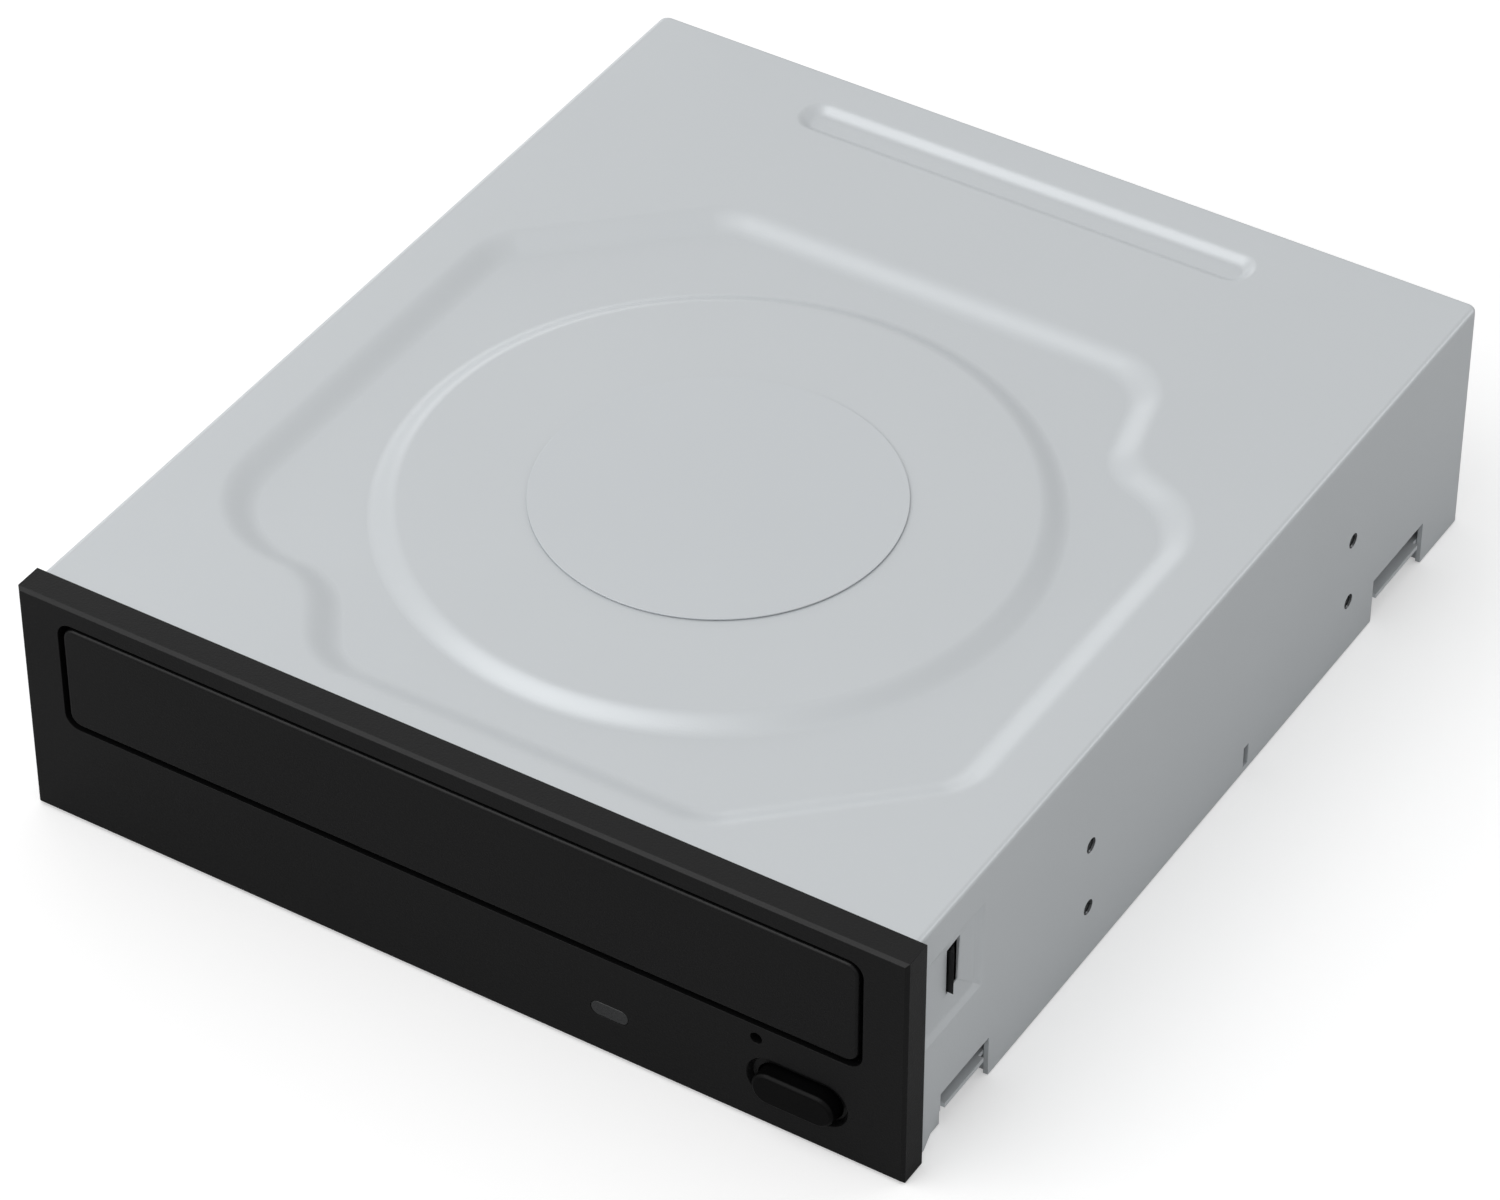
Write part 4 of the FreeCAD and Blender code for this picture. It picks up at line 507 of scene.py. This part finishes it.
# Bezel and tray door: mouldings of black plastic with a fine spark-eroded grain and rounded edges. Thin walls
# stand behind the bezel round the tray's window, and the door is fixed to the tray's front.
black_plastic = finish_of(
    "grained_black_plastic",
    Base_Color=lambda start: start.tones(
        start.spread(40, 3), (0.0034, 0.0034, 0.0036), (0.0050, 0.0050, 0.0053)),
    Specular_IOR_Level=0.28,
    Roughness=lambda start: 0.28 + 0.10 * start.spread(130, 3),
    Normal=lambda start: start.relief(start.spread(3200, 2), 0.5, 0.00006))
for node, body, roundness in (("front_bezel", "root", 0.4 * mm), ("tray_door", "tray", 0.2 * mm)):
    moulding = copied(node, node + "_moulding")
    softened(moulding, roundness)
    finished(moulding, black_plastic, body, 30)
    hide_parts(node)

# Eject button: a long round-ended cap of smoother black plastic. Behind the bezel it has a stop flange, and
# a stem that rests on the switch.
button_plastic = finish_of(
    "smooth_black_plastic",
    Base_Color=lambda start: start.tones(
        start.spread(80, 2), (0.0012, 0.0012, 0.0013), (0.0020, 0.0020, 0.0021)),
    Specular_IOR_Level=0.12,
    Roughness=lambda start: 0.34 + 0.08 * start.spread(300, 2),
    Normal=lambda start: start.relief(start.spread(3600, 2), 0.3, 0.00004))
cap = copied("eject_button", "button_cap")
softened(cap, 0.18 * mm)
finished(cap, button_plastic, "button", 40)
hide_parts("eject_button")

# Indicator lens: a bar of smoky clear plastic that carries the lamp's light to the front. Its round-ended
# head fills the slot in the bezel.
smoky_plastic = finish_of(
    "smoky_clear_plastic",
    Base_Color=lambda start: start.tones(start.spread(700, 2), (0.016, 0.017, 0.018), (0.024, 0.025, 0.026)),
    Roughness=lambda start: 0.22 + 0.1 * start.spread(500, 2),
    Coat_Weight=0.3)
bar = copied("indicator_lens", "lens_bar")
softened(bar, 0.15 * mm)
finished(bar, smoky_plastic, "root", 40)
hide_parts("indicator_lens")

# Zinc-plated screws: a pan head with a rounded edge and a cross recess, and a threaded shank. One of each
# size is modelled at the origin with its head up, and copied to where the CAD model's solids are.


def solids_of(node, turned=Matrix()):
    """Lowest and highest corners of each separate solid of a CAD node, measured after a turn."""
    copied(node, "measured")
    bpy.ops.mesh.separate(type="LOOSE")
    bpy.ops.object.mode_set(mode="OBJECT")
    boxes = []
    for part in list(bpy.context.selected_objects):
        spots = [turned @ vertex.co for vertex in part.data.vertices]
        boxes.append([Vector([bound(spot[axis] for spot in spots) for axis in range(3)])
                      for bound in (min, max)])
        bpy.data.objects.remove(part)
    return sorted(boxes, key=lambda box: tuple(box[0]))


def over(low, high, height):
    """Move from the origin to the middle of a box, at a height."""
    return Matrix.Translation(((low.x + high.x) / 2, (low.y + high.y) / 2, height))


def placed(piece, places):
    """Copies of a piece modelled at the origin, one for each matrix, in place of the piece itself."""
    made = []
    for number, place in enumerate(places):
        twin = piece.copy()
        twin.data = piece.data.copy()
        twin.name = piece.name + "_" + str(number + 1)
        twin.data.name = twin.name
        twin.data.transform(place)
        bpy.context.scene.collection.objects.link(twin)
        made.append(twin)
    bpy.data.objects.remove(piece)
    return made


def drawn_through(profile):
    """Extrude the selected circle, which is a profile's first (radius, height), through its others."""
    radius, height = profile[0]
    for wider, higher in profile[1:]:
        bpy.ops.mesh.extrude_region_move(TRANSFORM_OT_translate={"value": (0, 0, higher - height)})
        bpy.ops.transform.resize(value=(wider / radius, wider / radius, 1), center_override=(0, 0, higher))
        radius, height = wider, higher
    bpy.ops.mesh.select_all(action="SELECT")


def lathed(name, profile, sides=48):
    """Closed solid of revolution about Z through a list of (radius, height)."""
    radius, height = profile[0]
    piece = started(name, "circle", vertices=sides, radius=radius, fill_type="NGON",
                    location=(0, 0, height))
    drawn_through(profile)
    bpy.ops.mesh.normals_make_consistent(inside=False)
    ready(piece)
    return piece


def cross_cut(piece, reach, width, floor, top):
    """Press a cross into the top of a piece, down to a floor where its bars are narrower."""
    taper = 0.7
    bars = []
    for along, across in ((reach, width), (width, reach)):
        bar = started("cross", "cube", size=1.0, location=(0, 0, top),
                      scale=(2 * along, 2 * across, 2 * (top - floor)))
        pick(bar, "polygons", lambda middle, normal: normal.z < -mostly)
        bpy.ops.transform.resize(value=(taper, taper, 1), center_override=(0, 0, floor))
        ready(bar)
        bars.append(bar)
    combined(bars[0], "UNION", bars[1])
    combined(piece, "DIFFERENCE", bars[0])


def screw_of(name, head_radius, head_height, shank_radius, shank_length):
    """Screw whose head seats at the origin and whose threaded shank goes down from it."""
    pitch = 0.5 * mm
    root, crest = 0.1 * mm, 0.3 * mm
    core = shank_radius - 0.16 * mm
    tip = 0.3 * mm
    profile = [(core - tip, -shank_length), (core, -shank_length + tip)]
    for turn in range(int((shank_length - pitch) / pitch)):
        low = -shank_length + tip + turn * pitch
        profile += [(core, low + root), (shank_radius, low + crest), (core, low + pitch)]
    straight = 0.55 * head_height
    curve = 0.45 * head_height
    profile += [(core, 0), (head_radius, 0), (head_radius, straight)]
    for step in range(1, 6):
        lean = math.radians(15 * step)
        profile.append((head_radius - curve * (1 - math.cos(lean)), straight + curve * math.sin(lean)))
    profile.append((head_radius - 0.5 * head_height, head_height))
    piece = lathed(name, profile, 32)
    cross_cut(piece, reach=0.62 * head_radius, width=0.15 * head_radius, floor=0.3 * head_height,
              top=head_height)
    return piece


zinc_plate = finish_of(
    "zinc_plate",
    Base_Color=lambda start: start.tones(start.spread(260, 3), (0.50, 0.51, 0.53), (0.60, 0.61, 0.62)),
    Metallic=1.0,
    Roughness=lambda start: 0.26 + 0.16 * start.spread(420, 3),
    Normal=lambda start: start.relief(start.spread(2600, 2), 0.3, 0.00003))
hinge = Vector(joints["frame_lift"]["pos_m"])
lift_angle = math.radians(joints["frame_lift"]["range_deg"][1])
lowering = Matrix.Translation(hinge) @ Matrix.Rotation(lift_angle, 4, "X") @ Matrix.Translation(-hinge)
raising = lowering.inverted()
upright = Matrix()
head_down = Matrix.Rotation(math.pi, 4, "X")
shortest_shank = 0.6 * mm
for node, body, turned, posture, head_height, shank_radius in (
        ("case_screws", "root", Matrix(), head_down, 1.0 * mm, 1.4 * mm),
        ("board_screws", "root", Matrix(), upright, 1.2 * mm, 1.25 * mm),
        ("motor_screws", "root", Matrix(), upright, 1.0 * mm, 1.0 * mm),
        ("damper_screws", "lift", lowering, upright, 1.4 * mm, 1.2 * mm)):
    solids = solids_of(node, turned.inverted())
    low, high = solids[0]
    shank_length = max(high.z - low.z - head_height, shortest_shank)
    original = screw_of(node[:-1], (high.x - low.x) / 2, head_height, shank_radius, shank_length)
    spots = []
    for low, high in solids:
        seat = low.z + head_height if posture is head_down else high.z - head_height
        spots.append(turned @ over(low, high, seat) @ posture)
    for screw in placed(original, spots):
        finished(screw, zinc_plate, body, 30)
        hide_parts(node)

# Screw holes: threads cut in the collars that are drawn inwards from the side walls and the pan. The cut
# steel is bare; its near-black colour is painted shade down in the holes, and as metal it still catches glints.


def ring_of(name, profile, sides=32):
    """Closed ring about Z through a list of (radius, height) that comes back to its first point."""
    radius, height = profile[0]
    piece = started(name, "circle", vertices=sides, radius=radius, fill_type="NOTHING",
                    location=(0, 0, height))
    bpy.ops.mesh.select_mode(type="EDGE")
    bpy.ops.mesh.select_all(action="SELECT")
    drawn_through(profile + profile[:1])
    bpy.ops.mesh.remove_doubles(threshold=1e-7)
    bpy.ops.mesh.normals_make_consistent(inside=False)
    ready(piece)
    return piece


# Dark base colour: painted shade inside the screw holes.
thread_painted_shade = finish_of(
    "thread_painted_shade",
    Base_Color=lambda start: start.tones(start.spread(900, 2), (0.05, 0.052, 0.055), (0.14, 0.145, 0.15)),
    Metallic=0.7,
    Roughness=lambda start: 0.20 + 0.14 * start.spread(1500, 2))
wall_depth, pan_depth = 1.9 * mm, 4.3 * mm
thread_pitch = 0.4
thread_gap = 0.01
thread_root = 0.05 * mm
thread_crest = 0.25 * mm
for mount in frame["record"]["mounts"]:
    if mount["kind"] != "bolt_pattern":
        continue
    normal = Vector(mount["axis"])
    sideways = abs(normal.x) > 0.5
    hole = (mount["dims"]["hole_r_mm"] - thread_gap) * mm
    depth = wall_depth if sideways else pan_depth
    profile = [(hole, -depth), (hole, -thread_root)]
    for turn in range(int((depth - 0.3 * mm) / (thread_pitch * mm))):
        profile += [(hole - thread_root, -(0.1 + thread_pitch * turn) * mm),
                    (hole - thread_crest, -(0.3 + thread_pitch * turn) * mm)]
    profile.append((hole - thread_root, -depth))
    first = mount["dims"]["spacing_x_mm"] / 2 * mm
    second = mount["dims"]["spacing_y_mm"] / 2 * mm
    inwards = Vector((0, 0, 1)).rotation_difference(normal).to_matrix().to_4x4()
    middle = Matrix.Translation(mount["pos_m"]) @ inwards
    spots = []
    for one, other in ((-1, -1), (1, -1), (-1, 1), (1, 1)):
        aside = (0, one * first, other * second) if sideways else (one * first, other * second, 0)
        spots.append(Matrix.Translation(aside) @ middle)
    for thread in placed(ring_of(mount["name"] + "_thread", profile), spots):
        finished(thread, thread_painted_shade, "root", 20)

# Dampers: moulded rubber bushes, waisted where the chassis plate sits in them. Each is held down on the lift
# frame by the head of a screw.
black_rubber = finish_of(
    "black_rubber",
    Base_Color=lambda start: start.tones(start.spread(220, 3), (0.010, 0.010, 0.010), (0.018, 0.018, 0.018)),
    Roughness=lambda start: 0.66 + 0.16 * start.spread(400, 2),
    Normal=lambda start: start.relief(start.spread(1800, 3), 0.4, 0.00006))
bushes = solids_of("dampers", raising)
low, high = bushes[0]
bush_radius = (high.x - low.x) / 2
bush_height = high.z - low.z
plate_low = min(plate.z for plate, upper in solids_of("traverse_chassis", raising)) - low.z
plate_high = plate_low + 1.0 * mm
waist = bush_radius - 0.9 * mm
corner, corner_middle = 0.5 * mm, 0.15 * mm
lip, lip_middle = 0.3 * mm, 0.1 * mm
bush = lathed("damper", [
    (bush_radius - corner, 0), (bush_radius - corner_middle, corner_middle), (bush_radius, corner),
    (bush_radius, plate_low - lip), (bush_radius - lip_middle, plate_low - lip_middle),
    (bush_radius - lip, plate_low), (waist, plate_low), (waist, plate_high), (bush_radius - lip, plate_high),
    (bush_radius - lip_middle, plate_high + lip_middle), (bush_radius, plate_high + lip),
    (bush_radius, bush_height - corner), (bush_radius - corner_middle, bush_height - corner_middle),
    (bush_radius - corner, bush_height)])
spots = [lowering @ over(low, high, low.z) for low, high in bushes]
for bush in placed(bush, spots):
    finished(bush, black_rubber, "lift", 30)
    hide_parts("dampers")

# Capacitors: aluminium cans with a rolled groove near the foot and a scored cross on top. They stand on the
# main board.
can_metal = finish_of(
    "capacitor_can",
    Base_Color=lambda start: start.tones(start.spread(180, 2), (0.60, 0.61, 0.63), (0.66, 0.67, 0.69)),
    Metallic=1.0,
    Roughness=lambda start: 0.22 + 0.12 * start.spread(500, 2),
    Normal=lambda start: start.relief(start.spread(1400, 2, (1, 1, 0.1)), 0.2, 0.00002))
cans = solids_of("board_capacitors")
low, high = cans[0]
can_radius = (high.x - low.x) / 2
can_height = high.z - low.z
can_waist = can_radius - 0.25 * mm
can = lathed("capacitor", [
    (can_radius, 0), (can_radius, 0.8 * mm), (can_waist, 1.0 * mm), (can_waist, 1.2 * mm),
    (can_radius, 1.4 * mm), (can_radius, can_height - corner),
    (can_radius - corner_middle, can_height - corner_middle), (can_radius - corner, can_height)])
cross_cut(can, reach=0.7 * can_radius, width=0.09 * mm, floor=can_height - 0.12 * mm, top=can_height)
spots = [over(low, high, low.z) for low, high in cans]
for can in placed(can, spots):
    finished(can, can_metal, "root", 30)
    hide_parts("board_capacitors")

# Chip legs: tinned strips bent down and out from the chips' sides to the board. One is modelled at the
# origin and copied along the chips' sides.
tinned = finish_of(
    "tinned_copper",
    Base_Color=lambda start: start.tones(start.spread(900, 2), (0.60, 0.61, 0.62), (0.72, 0.72, 0.72)),
    Metallic=1.0,
    Roughness=lambda start: 0.28 + 0.2 * start.spread(1500, 2))
leg_height = 0.7 * mm
leg_foot = leg_height - 0.64 * mm
leg_width, leg_shoulder, leg_thickness = 0.34 * mm, 0.3 * mm, 0.12 * mm
leg_slant, leg_toe = 0.25 * mm, 0.4 * mm
leg = started("chip_leg", "cube", size=1.0, scale=(leg_width, leg_shoulder, leg_thickness),
              location=(0, leg_shoulder / 2, leg_height))
pick(leg, "polygons", lambda middle, normal: normal.y > mostly)
bpy.ops.mesh.extrude_region_move(TRANSFORM_OT_translate={"value": (0, leg_slant, leg_foot - leg_height)})
bpy.ops.mesh.extrude_region_move(TRANSFORM_OT_translate={"value": (0, leg_toe, 0)})
softened(leg, 0.03 * mm, 2, 30)
leg_pitch = 0.8 * mm
bare_ends = 1.2 * mm
four_sided = 12 * mm
spots = []
for low, high in solids_of("board_chips"):
    middle = (low + high) / 2
    half = (high - low) / 2
    sides = [(0, half.y, half.x), (math.pi, half.y, half.x)]
    if half.y > half.x or min(half.x, half.y) * 2 > four_sided:
        ends = [(math.pi / 2, half.x, half.y), (-math.pi / 2, half.x, half.y)]
        sides = ends + (sides if half.x == half.y else [])
    for turn, out, along in sides:
        count = int((2 * along - bare_ends) / leg_pitch) + 1
        for number in range(count):
            shift = (number - (count - 1) / 2) * leg_pitch
            spots.append(Matrix.Translation((middle.x, middle.y, low.z)) @ Matrix.Rotation(turn, 4, "Z")
                         @ Matrix.Translation((shift, out, 0)))
legs = merged("chip_legs", placed(leg, spots))
finished(legs, tinned, "root", 30)

# Connector contacts: gold-plated strips along each plug's tongue, 7 for data and 15 for power. One is
# modelled at the origin and copied.
gold = finish_of(
    "gold_plate",
    Base_Color=lambda start: start.tones(start.spread(700, 2), (0.74, 0.52, 0.22), (0.83, 0.61, 0.28)),
    Metallic=1.0,
    Roughness=lambda start: 0.2 + 0.14 * start.spread(1200, 2))
contact_pitch = 1.27 * mm
contact_inset = 3.6 * mm
contact_height = 3.6 * mm
tongue_offset = 0.5 * mm
spots = []
for node, pins in (("data_connector", 7), ("power_connector", 15)):
    low, high = (Vector(corner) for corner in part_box(node))
    for pin in range(pins):
        across = (low.x + high.x) / 2 + tongue_offset + (pin - (pins - 1) / 2) * contact_pitch
        spots.append(Matrix.Translation((across, high.y - contact_inset, low.z + contact_height)))
contact_sizes = (0.7 * mm, 5.0 * mm, 0.2 * mm)
contact = started("contact", "cube", size=1.0, scale=contact_sizes)
pick(contact, "edges", lambda start, end: min(start.y, end.y) > 0 and min(start.z, end.z) > 0)
bpy.ops.mesh.bevel(offset=0.08 * mm, segments=3)
ready(contact)
contacts = merged("connector_contacts", placed(contact, spots))
finished(contacts, gold, "root", 30)

# Disc tray: one black moulding with the disc's steps, its hub and pickup window and its rack; all edges are
# slightly rounded, as the mould leaves them.
moulded_black = finish_of(
    "moulded_black",
    Base_Color=lambda start: start.tones(
        start.spread(35, 3), (0.0085, 0.0085, 0.0090), (0.0125, 0.0125, 0.0130)),
    Specular_IOR_Level=0.35,
    Roughness=lambda start: 0.42 + 0.12 * start.spread(110, 3),
    Normal=lambda start: start.relief(start.spread(2400, 2), 0.45, 0.00006))
tray = copied("disc_tray", "tray_moulding")
softened(tray, 0.16 * mm, 2, 40)
finished(tray, moulded_black, "tray", 30)
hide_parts("disc_tray")

# Objective lens: a small domed moulding of clear plastic with a blue-green coating. It sits in the collar of
# its holder, which moves up and down on thin wires.
coated_lens = finish_of(
    "coated_lens",
    Base_Color=lambda start: start.tones(start.spread(900, 1), (0.10, 0.16, 0.26), (0.16, 0.22, 0.32)),
    Roughness=lambda start: 0.04 + 0.03 * start.spread(1800, 1),
    Coat_Weight=0.8)
low, high = solids_of("objective_lens", raising)[0]
lens_radius = (high.x - low.x) / 2
rim = 1.0 * mm
chamfer = 0.1 * mm
dome_radius = lens_radius - 0.35 * mm
dome_height = high.z - low.z - rim
profile = [(lens_radius - chamfer, 0), (lens_radius, chamfer), (lens_radius, rim - chamfer),
           (lens_radius - chamfer, rim), (dome_radius, rim)]
for step in range(1, 12):
    lean = math.radians(8 * step)
    profile.append((dome_radius * math.cos(lean), rim + dome_height * math.sin(lean)))
lens = placed(lathed("lens_moulding", profile), [lowering @ over(low, high, low.z)])[0]
finished(lens, coated_lens, "lens", 30)
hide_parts("objective_lens")

# Finishes of the pieces inside, whose CAD solids have the real shapes: each node takes its slot's finish.
# The finishes that no earlier piece has are defined here.
board_lacquer = finish_of(
    "green_board",
    Base_Color=lambda start: start.tones(
        start.node("Math", {0: start.bands(900, 9), 1: 0.62}, operation="GREATER_THAN"),
        (0.010, 0.085, 0.034), (0.016, 0.135, 0.055)),
    Roughness=lambda start: 0.24 + 0.12 * start.spread(300, 2),
    Coat_Weight=0.3,
    Normal=lambda start: start.relief(start.bands(900, 9), 0.3, 0.00004))
slot_finishes = {
    "case_steel": coated_steel,
    "foil": foil_steel,
    "black_plastic": black_plastic,
    "button_plastic": button_plastic,
    "lamp_lens": smoky_plastic,
    "dark_plastic": moulded_black,
    "steel": zinc_plate,
    "rubber": black_rubber,
    "capacitor": can_metal,
    "lens": coated_lens,
    "board": board_lacquer,
    "white_plastic": finish_of(
        "acetal",
        Base_Color=lambda start: start.tones(start.spread(60, 3), (0.64, 0.63, 0.58), (0.70, 0.69, 0.65)),
        Subsurface_Weight=0.08,
        Roughness=lambda start: 0.34 + 0.12 * start.spread(240, 2),
        Normal=lambda start: start.relief(start.spread(1600, 2), 0.25, 0.00004)),
    "chip": finish_of(
        "chip_resin",
        Base_Color=lambda start: start.tones(
            start.spread(500, 3), (0.016, 0.016, 0.017), (0.024, 0.024, 0.025)),
        Roughness=lambda start: 0.5 + 0.14 * start.spread(900, 2),
        Normal=lambda start: start.relief(start.spread(4200, 2), 0.5, 0.00005)),
    "connector": finish_of(
        "connector_plastic",
        Base_Color=lambda start: start.tones(
            start.spread(200, 2), (0.014, 0.014, 0.014), (0.020, 0.020, 0.020)),
        Roughness=lambda start: 0.38 + 0.1 * start.spread(600, 2)),
    "copper": finish_of(
        "enamelled_windings",
        Base_Color=lambda start: start.tones(start.bands(2600, 2), (0.40, 0.15, 0.05), (0.66, 0.30, 0.12)),
        Metallic=0.9,
        Roughness=lambda start: 0.26 + 0.14 * start.spread(700, 2),
        Normal=lambda start: start.relief(start.bands(2600, 2), 0.6, 0.0001)),
    "alloy": finish_of(
        "cast_alloy",
        Base_Color=lambda start: start.tones(start.spread(320, 4), (0.42, 0.42, 0.43), (0.52, 0.52, 0.53)),
        Metallic=1.0,
        Roughness=lambda start: 0.46 + 0.16 * start.spread(700, 3),
        Normal=lambda start: start.relief(start.spread(1800, 4), 0.5, 0.00008)),
    "magnet": finish_of(
        "ferrite",
        Base_Color=lambda start: start.tones(
            start.spread(600, 4), (0.030, 0.030, 0.032), (0.050, 0.050, 0.052)),
        Metallic=0.4,
        Roughness=lambda start: 0.5 + 0.2 * start.spread(1000, 3)),
    "felt": finish_of(
        "felt",
        Base_Color=lambda start: start.tones(
            start.spread(2600, 4), (0.012, 0.012, 0.014), (0.045, 0.045, 0.048)),
        Sheen_Weight=0.4,
        Roughness=0.95,
        Normal=lambda start: start.relief(start.spread(3600, 4), 0.9, 0.00025)),
    "cable": finish_of(
        "ribbed_cable",
        Base_Color=lambda start: start.tones(start.bands(1600, 0), (0.52, 0.52, 0.50), (0.70, 0.70, 0.68)),
        Roughness=lambda start: 0.34 + 0.1 * start.spread(500, 2),
        Normal=lambda start: start.relief(start.bands(1600, 0), 0.6, 0.0001)),
    "lamp": finish_of(
        "clear_epoxy",
        Base_Color=lambda start: start.tones(start.spread(800, 2), (0.50, 0.56, 0.50), (0.62, 0.68, 0.62)),
        Transmission_Weight=0.6,
        Roughness=lambda start: 0.06 + 0.06 * start.spread(900, 2)),
}
for subpart in frame["record"]["subparts"]:
    for slot in frame["nodes"][subpart["node"]].material_slots:
        slot.material = slot_finishes[subpart["material_slot"]]

# Camera: from the front right and above, with a long lens. Its place and direction were worked out from the
# case's corners and screw holes in the photograph.
scene = bpy.context.scene
scene.view_settings.view_transform = "Standard"
camera_data = bpy.data.cameras.new("camera")
camera_data.sensor_width = 36.0
camera_data.lens = 144.31
camera_data.clip_start = 0.05
camera_data.clip_end = 20.0
camera = bpy.data.objects.new("camera", camera_data)
camera.location = (0.36267, -0.59405, 0.59262)
camera.rotation_mode = "QUATERNION"
camera.rotation_quaternion = Vector((-0.40498, 0.64859, -0.64446)).to_track_quat("-Z", "Y")
scene.collection.objects.link(camera)
scene.camera = camera

# Table: a wide white sheet that keeps the drive's soft shadow. It glows a little to the camera, and is darker
# where the drive mirrors it.
table_size = 8.0
table_gap = 0.2 * mm
bpy.ops.object.select_all(action="DESELECT")
bpy.ops.mesh.primitive_plane_add(size=table_size, location=(0, 0, -table_gap))
table = bpy.context.object
table.name = "table"
paper = bpy.data.materials.new("white_paper")
paper.use_nodes = True
tree = paper.node_tree
tree.nodes.clear()
start = Signal(tree)
mirrored = start.node("LightPath", output="Is Glossy Ray")
matt = start.node("BsdfDiffuse", {"Color": start.tones(mirrored, (0.8, 0.8, 0.8), (0.32, 0.32, 0.32))})
glow = start.node("Emission", {"Strength": start.node("LightPath", output="Is Camera Ray") * 0.35})
both = start.node("AddShader", {0: matt, 1: glow})
tree.links.new(both.socket, tree.nodes.new("ShaderNodeOutputMaterial").inputs["Surface"])
table.data.materials.append(paper)

# Light: a bright room all round, one large lamp above the front, a small one behind the right side and a low
# one behind the left side.
world = bpy.data.worlds.new("room")
world.use_nodes = True
sky = Signal(world.node_tree)
towards = sky.node("TexCoord", output="Generated")
right = sky.node("SeparateXYZ", {0: towards}, output="X")
rear = sky.node("SeparateXYZ", {0: towards}, output="Y")
sky.fed(world.node_tree.nodes["Background"].inputs["Color"], (1, 1, 1))
sky.fed(world.node_tree.nodes["Background"].inputs["Strength"], 0.62 - 0.08 * right - 0.05 * rear)
scene.world = world
for name, size, energy, spot in (
        ("overhead", 1.2, 6.5, (-0.40, -0.64, 0.93)),
        ("rim", 0.45, 1.6, (0.96, 0.98, 0.60)),
        ("left", 0.6, 1.0, (-0.95, 0.82, 0.24))):
    lamp_data = bpy.data.lights.new(name, "AREA")
    lamp_data.size = size
    lamp_data.energy = energy
    lamp = bpy.data.objects.new(name, lamp_data)
    lamp.location = spot
    lamp.rotation_mode = "QUATERNION"
    lamp.rotation_quaternion = (-lamp.location).to_track_quat("-Z", "Y")
    scene.collection.objects.link(lamp)
